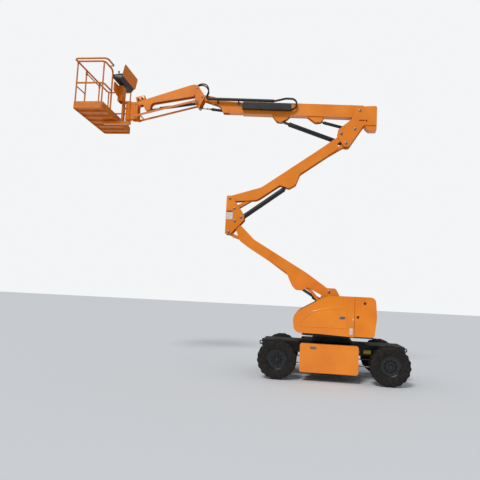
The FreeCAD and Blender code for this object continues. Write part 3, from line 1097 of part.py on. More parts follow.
# Control console on the inner posts, with its shield
console = body("console")
inner_x = boom_x + size.rail_radius + gap
outer_x = inner_x + size.console_depth
level = under + size.console_level
console_top = level + size.console_height
shield_low = console_top - size.shield_height / 4
lean_x = (console_top - shield_low) * math.tan(math.radians(size.shield_lean))
side_view = [(inner_x, level + 30, 0), (inner_x + 40, level, 10), (outer_x - 60, level, 20), (outer_x, shield_low, 15),
             (outer_x + lean_x, console_top, 8), (inner_x, console_top - 30, 10)]
console_middle = (near_y + far_y) / 2
pad(console, sketch(console, "XZ_Plane", rounded(side_view[::-1]), offset=-console_middle), "Sizes.console_width")
shield = body("console_shield")
half = size.console_width / 2 + 50
pad(shield, sketch(shield, "YZ_Plane", box(-half, 0, half, size.shield_height, 50), offset=gap),
    "Sizes.shield_wall", both=False)
place(shield, (outer_x, shield_low), size.shield_lean, console_middle)

# Check every object and shape, then write one file per node
doc.recompute()
for item in doc.Objects:
    if "Invalid" in item.State or "Error" in item.State:
        raise RuntimeError(f"{item.Name} failed: {item.State}")
os.makedirs("parts", exist_ok=True)
for label, item in nodes.items():
    shape = item.Shape
    if shape.isNull() or not shape.isValid() or not shape.Solids:
        raise RuntimeError(f"{label} has no valid shape")
    shape.exportStep(f"parts/{label}.step")
    print(label, len(shape.Solids), "solid(s)", round(shape.Volume / 1e6, 2), "litres")
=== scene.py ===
"""Articulating boom lift in a plain studio: paint, tyres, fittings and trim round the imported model."""
import json
import math

import bmesh
import bpy
import numpy as np
from mathutils import Matrix, Vector


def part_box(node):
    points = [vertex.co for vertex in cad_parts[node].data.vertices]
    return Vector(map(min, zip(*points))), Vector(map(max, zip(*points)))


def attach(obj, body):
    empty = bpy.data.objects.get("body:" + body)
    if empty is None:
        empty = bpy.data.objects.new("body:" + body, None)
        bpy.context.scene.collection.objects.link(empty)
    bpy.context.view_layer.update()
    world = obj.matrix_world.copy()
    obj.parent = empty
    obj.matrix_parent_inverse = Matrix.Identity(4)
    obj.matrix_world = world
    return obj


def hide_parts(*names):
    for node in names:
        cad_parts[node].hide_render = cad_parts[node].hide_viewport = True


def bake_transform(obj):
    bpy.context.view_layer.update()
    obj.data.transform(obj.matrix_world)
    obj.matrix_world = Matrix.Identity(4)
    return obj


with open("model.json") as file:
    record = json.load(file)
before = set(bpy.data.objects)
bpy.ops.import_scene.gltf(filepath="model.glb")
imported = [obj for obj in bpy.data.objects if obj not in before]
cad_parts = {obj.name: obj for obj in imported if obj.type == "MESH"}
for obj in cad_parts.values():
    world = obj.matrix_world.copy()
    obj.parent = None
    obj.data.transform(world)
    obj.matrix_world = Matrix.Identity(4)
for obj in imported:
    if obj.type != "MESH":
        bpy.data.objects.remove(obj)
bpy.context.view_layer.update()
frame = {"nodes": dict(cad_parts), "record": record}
nodes = frame["nodes"]

# Camera: a person's eye height beside the front wheel, looking slightly up along the machine.
# Its place, turn and focal length were worked out from the tyres and the basket rails.
CAMERA_PLACE = Vector((-0.54284, -11.63960, 1.67192))
CAMERA_YAW, CAMERA_PITCH, CAMERA_ROLL = -0.134702, 0.104822, 0.048720
FOCAL_PIXELS, IMAGE_PIXELS, SENSOR = 515.735, 480, 36.0
forward = Vector((math.sin(CAMERA_YAW) * math.cos(CAMERA_PITCH),
                  math.cos(CAMERA_YAW) * math.cos(CAMERA_PITCH), math.sin(CAMERA_PITCH)))
level = Vector((math.cos(CAMERA_YAW), -math.sin(CAMERA_YAW), 0))
rise = level.cross(forward)
right = math.cos(CAMERA_ROLL) * level + math.sin(CAMERA_ROLL) * rise
above = -math.sin(CAMERA_ROLL) * level + math.cos(CAMERA_ROLL) * rise
camera_data = bpy.data.cameras.new("camera")
camera_data.sensor_width = SENSOR
camera_data.lens = SENSOR * FOCAL_PIXELS / IMAGE_PIXELS
camera_data.clip_end = 200
camera = bpy.data.objects.new("camera", camera_data)
camera.matrix_world = Matrix.Translation(CAMERA_PLACE) @ Matrix((right, above, -forward)).transposed().to_4x4()
bpy.context.scene.collection.objects.link(camera)
bpy.context.scene.camera = camera
bpy.context.scene.view_settings.view_transform = "Standard"


def linear(hex_colour):
    """sRGB hex value to linear: each channel over 12.92 below 0.04045, else ((c + 0.055) / 1.055) ** 2.4."""
    channels = [int(hex_colour[i:i + 2], 16) / 255 for i in (1, 3, 5)]
    return [c / 12.92 if c <= 0.04045 else ((c + 0.055) / 1.055) ** 2.4 for c in channels] + [1.0]


def add(tree, kind, settings=None, **links):
    """One shader node: settings are sockets by name or number, or properties; links are socket=(node, output)."""
    node = tree.nodes.new(kind)
    for key, value in (settings or {}).items():
        if isinstance(key, int) or key in node.inputs.keys():
            node.inputs[key].default_value = value
        else:
            setattr(node, key, value)
    for socket, (source, output) in links.items():
        target = int(socket[1:]) if socket[0] == "_" else socket.replace("_", " ")
        tree.links.new(source.outputs[output], node.inputs[target])
    return node


def shader(name, colour, rough, **sockets):
    """A named material with one Principled shader; returns the material, its tree and the shader."""
    material = bpy.data.materials.new(name)
    material.use_nodes = True
    surface = material.node_tree.nodes["Principled BSDF"]
    surface.inputs["Base Color"].default_value = linear(colour)
    surface.inputs["Roughness"].default_value = rough
    for key, value in sockets.items():
        surface.inputs[key.replace("_", " ")].default_value = value
    return material, material.node_tree, surface


def mottle(material_parts, colours, grain, rough_range, bump=0.0, bump_grain=0.0):
    """Uneven colour and gloss: noise of one grain size in metres picks between the colours and the two
    roughness values, and a finer noise lifts the surface by the bump height in metres."""
    material, tree, surface = material_parts
    place = add(tree, "ShaderNodeTexCoord")
    cloud = add(tree, "ShaderNodeTexNoise", {"Scale": 1 / grain, "Detail": 4.0}, Vector=(place, "Object"))
    ramp = add(tree, "ShaderNodeValToRGB", Fac=(cloud, "Fac"))
    for spot, colour in zip(ramp.color_ramp.elements, colours):
        spot.color = linear(colour)
    ramp.color_ramp.elements[0].position, ramp.color_ramp.elements[1].position = 0.35, 0.68
    tree.links.new(ramp.outputs["Color"], surface.inputs["Base Color"])
    gloss = add(tree, "ShaderNodeMapRange", {"To Min": rough_range[0], "To Max": rough_range[1]},
                Value=(cloud, "Fac"))
    tree.links.new(gloss.outputs["Result"], surface.inputs["Roughness"])
    if bump:
        fine = add(tree, "ShaderNodeTexNoise", {"Scale": 1 / bump_grain, "Detail": 2.0}, Vector=(place, "Object"))
        relief = add(tree, "ShaderNodeBump", {"Strength": 0.6, "Distance": bump}, Height=(fine, "Fac"))
        tree.links.new(relief.outputs["Normal"], surface.inputs["Normal"])
    return material


def paint(names, material):
    """Gives the named nodes one material in place of their own."""
    for name in names:
        nodes[name].data.materials.clear()
        nodes[name].data.materials.append(material)


# Studio: pale floor and soft daylight from the upper left. The camera sees a white room, and gloss sees
# a dimmer grey sky, which keeps the dark enamel dark.
FLOOR_SIZE = 160.0
SKY_STRENGTH, MIRRORED_STRENGTH, SUN_ENERGY = 0.62, 0.22, 1.75
SUN_SPREAD, SUN_TURN = math.radians(14), [math.radians(turn) for turn in (46, 4, -22)]
bpy.ops.mesh.primitive_plane_add(size=FLOOR_SIZE, location=(0, 0, 0))
floor = bpy.context.object
floor.name = "floor"
floor.data.materials.append(shader("floor_paint", "#D9DADB", 0.9)[0])
world = bpy.data.worlds.new("studio_sky")
bpy.context.scene.world = world
world.use_nodes = True
tree = world.node_tree
sky = tree.nodes["Background"]
sky.inputs["Color"].default_value = linear("#E4EAF0")
sky.inputs["Strength"].default_value = SKY_STRENGTH
seen = add(tree, "ShaderNodeBackground", {"Color": linear("#F4F5F6"), "Strength": 1.0})
mirrored = add(tree, "ShaderNodeBackground", {"Color": linear("#C9D0D6"), "Strength": MIRRORED_STRENGTH})
ray = add(tree, "ShaderNodeLightPath")
glossy = add(tree, "ShaderNodeMixShader", Fac=(ray, "Is Glossy Ray"), _1=(sky, "Background"),
             _2=(mirrored, "Background"))
blend = add(tree, "ShaderNodeMixShader", Fac=(ray, "Is Camera Ray"), _1=(glossy, "Shader"), _2=(seen, "Background"))
tree.links.new(blend.outputs["Shader"], tree.nodes["World Output"].inputs["Surface"])
sun_data = bpy.data.lights.new("sun", "SUN")
sun_data.energy = SUN_ENERGY
sun_data.angle = SUN_SPREAD
sun = bpy.data.objects.new("sun", sun_data)
sun.rotation_euler = SUN_TURN
bpy.context.scene.collection.objects.link(sun)

# Chassis: welded plate frame, axles and slewing ring, sprayed in black two-coat enamel, satin and
# dusty on its upper faces; round guard tubes join the battery boxes to the axles.
black_parts = shader("black_chassis_enamel", "#17181A", 0.42, Specular_IOR_Level=0.5)
black_enamel = mottle(black_parts, ("#121315", "#242526"), 0.35, (0.34, 0.55), 0.0004, 0.02)
_, tree, surface = black_parts
facing = add(tree, "ShaderNodeNewGeometry")
split = add(tree, "ShaderNodeSeparateXYZ", Vector=(facing, "Normal"))
dusty = add(tree, "ShaderNodeMapRange", {"From Min": 0.6, "From Max": 1.0, "To Max": 0.35}, Value=(split, "Z"))
colour_in = surface.inputs["Base Color"].links[0].from_node
dust = add(tree, "ShaderNodeMix", {"data_type": "RGBA", 7: linear("#5A5048")}, _0=(dusty, "Result"),
           _6=(colour_in, "Color"))
tree.links.new(dust.outputs[2], surface.inputs["Base Color"])
paint(["chassis_frame", "slew_ring", "front_axle", "rear_axle", "steering_knuckle_left", "steering_knuckle_right",
       "tie_rod", "turret_frame"], black_enamel)
zinc_steel = mottle(shader("zinc_plated_steel", "#8E9092", 0.35, Metallic=1.0), ("#7E8082", "#A6A8AA"), 0.05,
                    (0.28, 0.5))


def grid(points, wrap_rows=False):
    """Quads over a rows x columns grid: each joins a point to its neighbours in the next row and column.
    The last column joins the first, and the last row joins the first where wrap_rows is set."""
    index = np.arange(points.shape[0] * points.shape[1]).reshape(points.shape[:2])
    if wrap_rows:
        index = np.vstack([index, index[:1]])
    index = np.hstack([index, index[:, :1]])
    quads = np.stack([index[:-1, :-1], index[1:, :-1], index[1:, 1:], index[:-1, 1:]], axis=-1).reshape(-1, 4)
    flat = points.reshape(-1, 3)
    a, b, c, d = (flat[quads[:, i]] for i in range(4))
    volume = np.einsum("ij,ij->i", a, np.cross(b, c) + np.cross(c, d)).sum()
    return flat, quads if volume > 0 else quads[:, ::-1]


def across(axis):
    """Two unit directions square to an axis."""
    axis = np.asarray(axis, float) / np.linalg.norm(axis)
    first = np.cross(axis, (0, 0, 1.0) if abs(axis[2]) < 0.9 else (1.0, 0, 0))
    first /= np.linalg.norm(first)
    return axis, first, np.cross(axis, first)


def turned(profile, centre, axis, count):
    """Surface of revolution: row i is a circle of radius profile[i, 1] at distance profile[i, 0] along the axis."""
    axis, first, second = across(axis)
    profile = np.asarray(profile, float)
    angle = np.linspace(0, 2 * np.pi, count, endpoint=False)
    ring = np.cos(angle)[:, None] * first + np.sin(angle)[:, None] * second
    points = np.asarray(centre) + profile[:, 0, None, None] * axis + profile[:, 1, None, None] * ring
    return grid(points)


def slab(outline, centre, axis, thick, edge, up=None):
    """Flat plate: its outline in metres about a centre, raised along the axis, with its rim pulled in by edge."""
    axis, first, second = across(axis)
    if up is not None:
        second = np.asarray(up, float)
        first = np.cross(second, axis)
    outline = np.asarray(outline, float)
    shrink = 1 - edge / np.abs(outline).max()
    rows = [(0.0, 0.0), (1.0, 0.0), (1.0, thick - edge), (shrink, thick), (0.0, thick)]
    flat = outline[:, :1] * first + outline[:, 1:] * second
    points = np.stack([np.asarray(centre) + scale * flat + height * axis for scale, height in rows])
    return grid(points)


def hexagon(size):
    """Hexagon outline, size across its flats."""
    angle = np.arange(6) * np.pi / 3
    return np.stack([np.cos(angle), np.sin(angle)], axis=-1) * size / math.sqrt(3)


def rounded_box(width, height, radius, steps=5):
    """Rectangle outline whose corners are quarter circles of a few steps."""
    turn_angle = np.linspace(0, np.pi / 2, steps)
    parts = [np.stack([sx * (width / 2 - radius) + radius * np.cos(turn_angle + start),
                       sy * (height / 2 - radius) + radius * np.sin(turn_angle + start)], axis=-1)
             for sx, sy, start in ((1, 1, 0), (-1, 1, np.pi / 2), (-1, -1, np.pi), (1, -1, 1.5 * np.pi))]
    return np.vstack(parts)


def bolts(spots, axis, size):
    """Hexagon heads on washers: one per spot, standing out along the axis."""
    washer = [(0, 0), (0, size * 0.95), (size * 0.12, size * 0.95), (size * 0.12, 0)]
    return [shape for spot in spots for shape in
            (turned(washer, spot, axis, 16), slab(hexagon(size), spot, axis, size * 0.62, size * 0.06))]


def along_path(path, radius, sides):
    """Round hose or rod: a circle square to the path at each of its points, with flat ends."""
    path = np.asarray(path, float)
    ahead = np.gradient(path, axis=0)
    ahead /= np.linalg.norm(ahead, axis=1, keepdims=True)
    side = np.cross(ahead, (0.0, 1.0, 0.02))
    side /= np.linalg.norm(side, axis=1, keepdims=True)
    other = np.cross(ahead, side)
    angle = np.linspace(0, 2 * np.pi, sides, endpoint=False)
    ring = np.cos(angle)[:, None] * side[:, None] + np.sin(angle)[:, None] * other[:, None]
    first, last = (np.repeat(end[:, None], sides, 1) for end in (path[:1], path[-1:]))
    return grid(np.concatenate([first, path[:, None] + radius * ring, last]))


def smooth_path(points, steps):
    """Catmull-Rom curve: each run between two points is a cubic whose slope at a point is half the way
    from the point before it to the point after it."""
    p = np.asarray(points, float)
    p = np.vstack([2 * p[0] - p[1], p, 2 * p[-1] - p[-2]])
    t = np.linspace(0, 1, steps, endpoint=False)[None, :, None]
    a, b, c, d = (p[i:len(p) - 3 + i, None] for i in range(4))
    curve = 0.5 * (2 * b + (c - a) * t + (2 * a - 5 * b + 4 * c - d) * t ** 2 + (3 * b - a - 3 * c + d) * t ** 3)
    return np.vstack([curve.reshape(-1, 3), p[-2]])


def make_piece(name, shapes, body, material, stands_for=(), sharp=35):
    """One mesh object from (points, quads) shapes, its doubles merged so that poles close. It rides on the
    body, or on none where no body is given."""
    starts = np.cumsum([0] + [len(points) for points, quads in shapes[:-1]])
    points = np.vstack([points for points, quads in shapes])
    quads = np.vstack([quads + start for (_, quads), start in zip(shapes, starts)])
    mesh = bpy.data.meshes.new(name)
    mesh.from_pydata(points.tolist(), [], quads.tolist())
    work = bmesh.new()
    work.from_mesh(mesh)
    bmesh.ops.remove_doubles(work, verts=work.verts, dist=1e-6)
    bmesh.ops.dissolve_degenerate(work, edges=work.edges, dist=1e-7)
    work.to_mesh(mesh)
    work.free()
    mesh.polygons.foreach_set("use_smooth", np.ones(len(mesh.polygons), bool))
    mesh.set_sharp_from_angle(angle=math.radians(sharp))
    mesh.materials.append(material)
    piece = bpy.data.objects.new(name, mesh)
    bpy.context.scene.collection.objects.link(piece)
    if body:
        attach(piece, body)
    for node in stands_for:
        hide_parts(node)
    return piece


GUARD_RADIUS, GUARD_Y, GUARD_Z = 0.011, 0.66, 0.33
guard_tubes = []
for front, rear in ((-0.985, -0.598), (0.488, 0.985)):
    tube = [(0, 0), (0, GUARD_RADIUS), (rear - front, GUARD_RADIUS), (rear - front, 0)]
    guard_tubes += [turned(tube, (front, side * GUARD_Y, GUARD_Z), (1, 0, 0), 16) for side in (-1, 1)]
make_piece("guard_tubes", guard_tubes, "chassis", zinc_steel)
AXLE_X, AXLE_UNDERSIDE = 1.12, 0.5199
axle_spots = [(x + dx, side * 0.27, AXLE_UNDERSIDE) for x in (-AXLE_X, AXLE_X) for dx in (-0.06, 0.06)
              for side in (-1, 1)]
make_piece("axle_bolts", bolts(axle_spots, (0, 0, -1), 0.03), "chassis", zinc_steel)
# Name, centre, length across the machine, colour
GRIP_STRIPS = [("grip_strip_front", (-0.95, -0.30, 0.745), 0.55, "#5E2A22"),
               ("grip_strip_rear", (1.10, -0.30, 0.745), 0.42, "#7A5A22")]
for name, centre, long, colour in GRIP_STRIPS:
    grit = mottle(shader("grit_" + name, colour, 0.9), (colour, "#3A2C24"), 0.02, (0.8, 0.95), 0.0006, 0.002)
    make_piece(name, [slab(rounded_box(0.16, long, 0.01), centre, (0, 0, 1), 0.0012, 0.0006, (1, 0, 0))], "chassis",
               grit)

# Tyres: foam-filled rough-terrain rubber, moulded with staggered tread lugs that run over the shoulder;
# worn matt and mottled from black to a dusty brown.
tyre_parts = shader("moulded_tyre_rubber", "#1C1917", 0.8, Specular_IOR_Level=0.3)
tyre_rubber = mottle(tyre_parts, ("#151312", "#2B2520"), 0.06, (0.65, 0.92), 0.0006, 0.004)
TYRE_RADIUS, TYRE_HALF, LUGS = 0.4, 0.125, 19
AROUND, ACROSS = 608, 44
# Lug: height, half its length as a share of the pitch, how sharply it ends, how far it slants
LUG_HEIGHT, LUG_HALF, LUG_EDGE, LUG_SLANT = 0.0135, 0.235, 90, 0.22
# Half section from the crown to the bead: distance from the middle plane, radius, share of the lug height
HALF_SECTION = np.array([(0, 0.386, 0), (0.012, 0.3865, 0), (0.020, 0.387, 1), (0.060, 0.387, 1), (0.094, 0.385, 1),
                         (0.108, 0.379, 1), (0.116, 0.368, 0.9), (0.121, 0.352, 0.5), (0.1235, 0.34, 0.15),
                         (0.1245, 0.32, 0), (0.1242, 0.298, 0), (0.121, 0.27, 0), (0.1155, 0.25, 0),
                         (0.1175, 0.246, 0), (0.1150, 0.240, 0), (0.106, 0.226, 0), (0.1025, 0.218, 0)])


def tyre_shape(centre):
    """Half sections mirrored and closed across the bead, turned about the axle; a lug lifts the skin where the
    angle's phase, shifted by half a lug from side to side and slanted across, is inside the lug's length."""
    run = np.r_[0, np.cumsum(np.linalg.norm(np.diff(HALF_SECTION[:, :2], axis=0), axis=1))]
    even = np.unique(np.r_[run, np.linspace(0, run[-1], ACROSS // 2)])
    y, radius, share = (np.interp(even, run, HALF_SECTION[:, i]) for i in range(3))
    y = np.r_[-y[::-1], y[1:]]
    radius, share = np.r_[radius[::-1], radius[1:]], np.r_[share[::-1], share[1:]]
    slope_y, slope_r = np.gradient(y), np.gradient(radius)
    size = np.hypot(slope_y, slope_r) + 1e-12
    out_y, out_r = -slope_r / size, slope_y / size
    turn_angle = np.linspace(0, 2 * np.pi, AROUND, endpoint=False)[:, None]
    slant = LUG_SLANT * (np.abs(y) - 0.06) / 0.06
    phase = (turn_angle * LUGS / (2 * np.pi) + np.where(y > 0, 0.0, 0.5) + slant * 0.35) % 1.0
    inside = 1 / (1 + np.exp((np.abs(phase - 0.5) - LUG_HALF) * LUG_EDGE))
    height = LUG_HEIGHT * inside * share
    r = np.minimum(radius + out_r * height, TYRE_RADIUS)
    side = np.clip(y + out_y * height * 0.4, -TYRE_HALF, TYRE_HALF)
    points = np.stack([centre[0] + r * np.sin(turn_angle), centre[1] + side + 0 * turn_angle,
                       centre[2] + r * np.cos(turn_angle)], axis=-1)
    return grid(points, wrap_rows=True)


WHEELS = {"front_left": (-1.12, -0.905, 0.4), "front_right": (-1.12, 0.905, 0.4),
          "rear_left": (1.12, -0.905, 0.4), "rear_right": (1.12, 0.905, 0.4)}
for place, centre in WHEELS.items():
    make_piece("tyre_tread_" + place, [tyre_shape(centre)], "wheel_" + place, tyre_rubber,
               ["tyre_" + place], sharp=50)

# Rims: pressed steel discs in gloss black enamel, each held by nine nuts round the hub, with a hub cap.
rim_enamel = mottle(shader("gloss_black_rim_enamel", "#0E0F10", 0.28, Coat_Weight=0.3), ("#0B0C0D", "#1B1A19"),
                    0.12, (0.22, 0.45))
paint([name for name in nodes if name.startswith("rim_")], rim_enamel)
dull_steel = mottle(shader("phosphated_steel_nuts", "#3A3B3C", 0.5, Metallic=1.0), ("#2E2F30", "#4A4B4C"), 0.02,
                    (0.4, 0.6))
NUTS, NUT_CIRCLE, CAP_BOLT_CIRCLE = 9, 0.115, 0.062
# Faces that the nuts and the hub caps stand on, from the wheel's middle plane: front wheels, rear wheels
NUT_FACES, CAP_FACES = (0.030, 0.062), (0.056, 0.092)
HUB_CAP = [(0, 0), (0, 0.052), (0.016, 0.050), (0.026, 0.040), (0.030, 0)]
angle = np.arange(NUTS) * 2 * np.pi / NUTS
for place, centre in WHEELS.items():
    out = -1 if centre[1] < 0 else 1
    rear = int(centre[0] > 0)
    face = centre[1] + out * NUT_FACES[rear]
    spots = [(centre[0] + NUT_CIRCLE * math.cos(a), face, centre[2] + NUT_CIRCLE * math.sin(a)) for a in angle]
    make_piece("wheel_nuts_" + place, bolts(spots, (0, out, 0), 0.026), "wheel_" + place, dull_steel)
    cap_face = centre[1] + out * CAP_FACES[rear]
    # Six bolts, 60 degrees apart
    cap_bolts = [(centre[0] + CAP_BOLT_CIRCLE * math.cos(a), cap_face, centre[2] + CAP_BOLT_CIRCLE * math.sin(a))
                 for a in angle[:6] * 1.5]
    make_piece("hub_cap_" + place, [turned(HUB_CAP, (centre[0], cap_face, centre[2]), (0, out, 0), 40)]
               + bolts(cap_bolts, (0, out, 0), 0.012), "wheel_" + place, rim_enamel)

# Covers over battery boxes and turret: moulded glass-fibre shells in orange gel coat, glossy and slightly
# wavy; each has a zinc pull latch on a plate, and the hoods carry a raised bead along their side.
ORANGE, ORANGE_LIGHT, ORANGE_DARK = "#EE8200", "#F48A00", "#E67A00"
gel_coat = mottle(shader("orange_gel_coat", ORANGE, 0.25, Coat_Weight=0.5, Coat_Roughness=0.12),
                  (ORANGE_DARK, ORANGE_LIGHT), 0.7, (0.22, 0.34), 0.0006, 0.25)
paint(["side_cover_left", "side_cover_right", "hood_left", "hood_right"], gel_coat)


def latch(centre, out, lean):
    """Pull latch on an upright face: a rounded plate with a bowed round bar over it."""
    up = (-math.sin(lean), 0, math.cos(lean))
    plate = slab(rounded_box(0.115, 0.05, 0.012), centre, (0, out, 0), 0.004, 0.001, up)
    reach = np.linspace(-1, 1, 13)[:, None]
    way = np.array((math.cos(lean), 0, math.sin(lean)))
    bar_path = np.array(centre) + 0.042 * reach * way + np.array((0, out, 0)) * (0.022 * (1 - reach ** 6) + 0.001)
    return [plate, along_path(bar_path, 0.0055, 10)]


for side, name in ((-1, "left"), (1, "right")):
    make_piece("cover_latch_" + name, latch((-0.395, side * 1.0, 0.675), side, 0.0), "cover_" + name,
               zinc_steel)
    make_piece("hood_latch_" + name, latch((0.169, side * 0.95, 1.298), side, 0.06), "hood_" + name,
               zinc_steel)
    # Raised bead: a half-round rib along a closed line on the hood's side
    bead_line = [(-0.672, 1.112), (-0.655, 1.19), (-0.473, 1.364), (-0.29, 1.435), (-0.093, 1.473), (0.15, 1.488),
                 (0.225, 1.476), (0.252, 1.44), (0.262, 1.28), (0.272, 1.14), (0.262, 1.105), (0.22, 1.096),
                 (-0.2, 1.096), (-0.6, 1.095)]
    loop = smooth_path([(x, side * 0.9502, z) for x, z in bead_line + bead_line[:1]], 8)
    ahead = np.gradient(loop, axis=0)
    normal = np.stack([-ahead[:, 2], 0 * ahead[:, 0], ahead[:, 0]], axis=-1)
    normal /= np.linalg.norm(normal, axis=1, keepdims=True)
    arch = np.linspace(0, np.pi, 9)
    rib = (loop[:, None] + 0.013 * np.cos(arch)[None, :, None] * normal[:, None]
           + 0.007 * np.sin(arch)[None, :, None] * np.array((0, side, 0)))
    make_piece("hood_bead_" + name, [grid(rib)], "hood_" + name, gel_coat, sharp=60)

# Counterweight: one iron casting behind the hoods, its sand-cast skin rough under the orange paint;
# black rubber plugs close its lifting holes.
cast_paint = mottle(shader("orange_painted_cast_iron", ORANGE, 0.35, Coat_Weight=0.3, Coat_Roughness=0.2),
                    (ORANGE_DARK, ORANGE_LIGHT), 0.5, (0.26, 0.42), 0.0012, 0.012)
paint(["counterweight"], cast_paint)
black_rubber = mottle(shader("black_rubber", "#151515", 0.7), ("#101010", "#201F1E"), 0.04, (0.55, 0.85), 0.0002,
                      0.003)
PLUG = [(0, 0), (0, 0.026), (0.004, 0.026), (0.008, 0.020), (0.008, 0)]
PLUG_SPOTS = [(0.606, 1.608), (0.473, 1.328)]
plugs = [turned(PLUG, (x, side * 0.95, z), (0, side, 0), 28) for side in (-1, 1) for x, z in PLUG_SPOTS]
make_piece("counterweight_plugs", plugs, "turret", black_rubber)

# Risers, boom, jib and basket bracket: plate and folded boxes welded up, in orange two-pack enamel with
# a fine orange peel; each pivot pin ends in a zinc cap that one bolt holds.
steel_enamel = mottle(shader("orange_two_pack_enamel", ORANGE, 0.35, Coat_Weight=0.25, Coat_Roughness=0.2),
                      ("#E07800", "#EE8602"), 0.5, (0.28, 0.46), 0.0002, 0.006)
paint(["lower_arm", "upper_arm", "lower_link", "upper_link", "riser_knuckle", "upright", "boom_outer", "boom_inner",
       "jib_base", "jib_arm", "jib_link", "jib_head", "basket_mount", "console_shield"], steel_enamel)
# The turret's plates above its floor carry the same enamel; the floor stays black
TURRET_FLOOR = 1.15
turret = nodes["turret_frame"].data
turret.materials.append(steel_enamel)
middles = np.empty(len(turret.polygons) * 3)
turret.polygons.foreach_get("center", middles)
turret.polygons.foreach_set("material_index", (middles[2::3] > TURRET_FLOOR).astype(np.int32))
PIN_CAP = np.array([(0, 0), (0, 0.95), (0.10, 0.95), (0.16, 0.85), (0.16, 0)])
# Name, body, end face of the pins from the middle, radius of the pins, their places in the side view
PINS = [("turret", "turret", 0.147, 0.030, [(-0.085, 1.820), (-0.214, 1.559), (0.215, 1.320)]),
        ("knuckle", "knuckle", 0.147, 0.030, [(-2.24446, 3.32646), (-2.37346, 3.06546), (-2.37846, 3.84146),
                                              (-2.26846, 3.61146), (-2.10646, 3.41246)]),
        ("upright", "upright", 0.147, 0.030, [(0.08565, 5.3932), (0.19565, 5.1632), (0.38765, 5.4962),
                                              (0.48665, 5.9232)]),
        ("boom_head", "boom_inner", 0.118, 0.030, [(-3.16982, 6.26001)]),
        ("jib_base_upper", "jib_base", 0.125, 0.020, [(-3.30682, 6.47501)]),
        ("jib_base_lower", "jib_base", 0.204, 0.020, [(-3.29382, 6.14801)]),
        ("jib_head_upper", "jib_head", 0.120, 0.020, [(-4.79007, 6.09969)]),
        ("jib_head_lower", "jib_head", 0.204, 0.020, [(-4.77707, 5.77269)])]
for name, body, face, radius, spots in PINS:
    caps = []
    for side in (-1, 1):
        for x, z in spots:
            caps.append(turned(PIN_CAP * radius, (x, side * face, z), (0, side, 0), 28))
        caps += bolts([(x, side * (face + 0.16 * radius), z) for x, z in spots], (0, side, 0), radius * 0.72)
    make_piece("pin_caps_" + name, caps, body, zinc_steel)

# Placards and labels: blank vinyl, one white with a red band on the knuckle's plate, a white one on the
# hood and a yellow one on the frame; they carry no text.
white_vinyl = mottle(shader("white_vinyl", "#CFCBC4", 0.35), ("#C4C0B8", "#D8D5CF"), 0.05, (0.3, 0.45))
red_vinyl = mottle(shader("red_vinyl", "#B32A1E", 0.35), ("#A82418", "#BE3226"), 0.05, (0.3, 0.45))
yellow_vinyl = mottle(shader("yellow_vinyl", "#D9BE1A", 0.4), ("#CDB010", "#E2C828"), 0.04, (0.32, 0.5))
VINYL, CORNER = 0.0008, 0.006
# Name, body, centre, width, height, slot, vinyl
LABELS = [("placard", "knuckle", (-2.372, -0.135, 3.445), 0.145, 0.160, "orange_paint", white_vinyl),
          ("placard_band", "knuckle", (-2.372, -0.135, 3.545), 0.145, 0.040, "orange_paint", red_vinyl),
          ("hood_label", "hood_left", (0.345, -0.950, 1.037), 0.062, 0.125, "orange_cover", white_vinyl),
          ("hood_mark", "hood_left", (0.380, -0.950, 1.278), 0.022, 0.034, "orange_cover", white_vinyl),
          ("frame_label", "chassis", (0.726, -0.450, 0.602), 0.150, 0.075, "black_paint", yellow_vinyl)]
for name, body, centre, wide, high, slot, vinyl in LABELS:
    make_piece(name, [slab(rounded_box(wide, high, CORNER), centre, (0, -1, 0), VINYL, 0.0003, (0, 0, 1))], body,
               vinyl)

# Cylinders: honed steel tubes in black enamel with a screwed gland at the rod's end, two ports and the
# pipe between them; the rods are hard chrome, which looks dark in the open.
hard_chrome = mottle(shader("hard_chrome_rod", "#6C6F73", 0.12, Metallic=1.0), ("#606368", "#7B7E82"), 0.3,
                     (0.08, 0.2))
# Name, radius of the tube, radius of the rod
CYLINDERS = [("lower", 0.055, 0.032), ("upper", 0.055, 0.032), ("lift", 0.052, 0.030), ("master", 0.035, 0.020),
             ("jib", 0.035, 0.020), ("slave", 0.032, 0.018)]
PORT_INSET = 0.16
joints = {joint["name"]: joint for joint in frame["record"]["behaviour"]["joints"]}
for name, radius, rod in CYLINDERS:
    paint([name + "_cylinder_barrel"], black_enamel)
    paint([name + "_cylinder_rod"], hard_chrome)
    axis = np.array(joints[name + "_cylinder_rod_slide"]["axis"])
    pin = np.array(joints[name + "_cylinder_barrel_turn"]["pos_m"])
    low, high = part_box(name + "_cylinder_barrel")
    reach = (low if axis[0] < 0 else high)[0] - pin[0]
    end = (abs(reach) - radius * abs(axis[2])) / abs(axis[0])
    gland = [(-0.045, 0), (-0.045, radius + 0.0005), (-0.040, radius + 0.002), (-0.004, radius + 0.002),
             (0.002, radius - 0.002), (0.010, rod + 0.009), (0.016, rod + 0.005), (0.016, 0)]
    ports = [PORT_INSET, end - PORT_INSET]
    shapes = [turned(gland, pin + axis * end, axis, 40)]
    boss = [(radius - 0.008, 0), (radius - 0.008, 0.012), (radius + 0.006, 0.012), (radius + 0.008, 0.010),
            (radius + 0.018, 0.010), (radius + 0.018, 0)]
    shapes += [turned(boss, pin + axis * port, (0, -1, 0), 20) for port in ports]
    run = np.array([(ports[0], radius + 0.010), (ports[0] + 0.02, radius + 0.013), (ports[0] + 0.05, radius + 0.013),
                    (ports[1] - 0.05, radius + 0.013), (ports[1] - 0.02, radius + 0.013),
                    (ports[1], radius + 0.010)])
    pipe = pin + run[:, :1] * axis + run[:, 1:] * np.array((0, -1, 0))
    shapes.append(along_path(pipe, 0.006, 10))
    make_piece(name + "_cylinder_fittings", shapes, name + "_barrel", black_enamel)

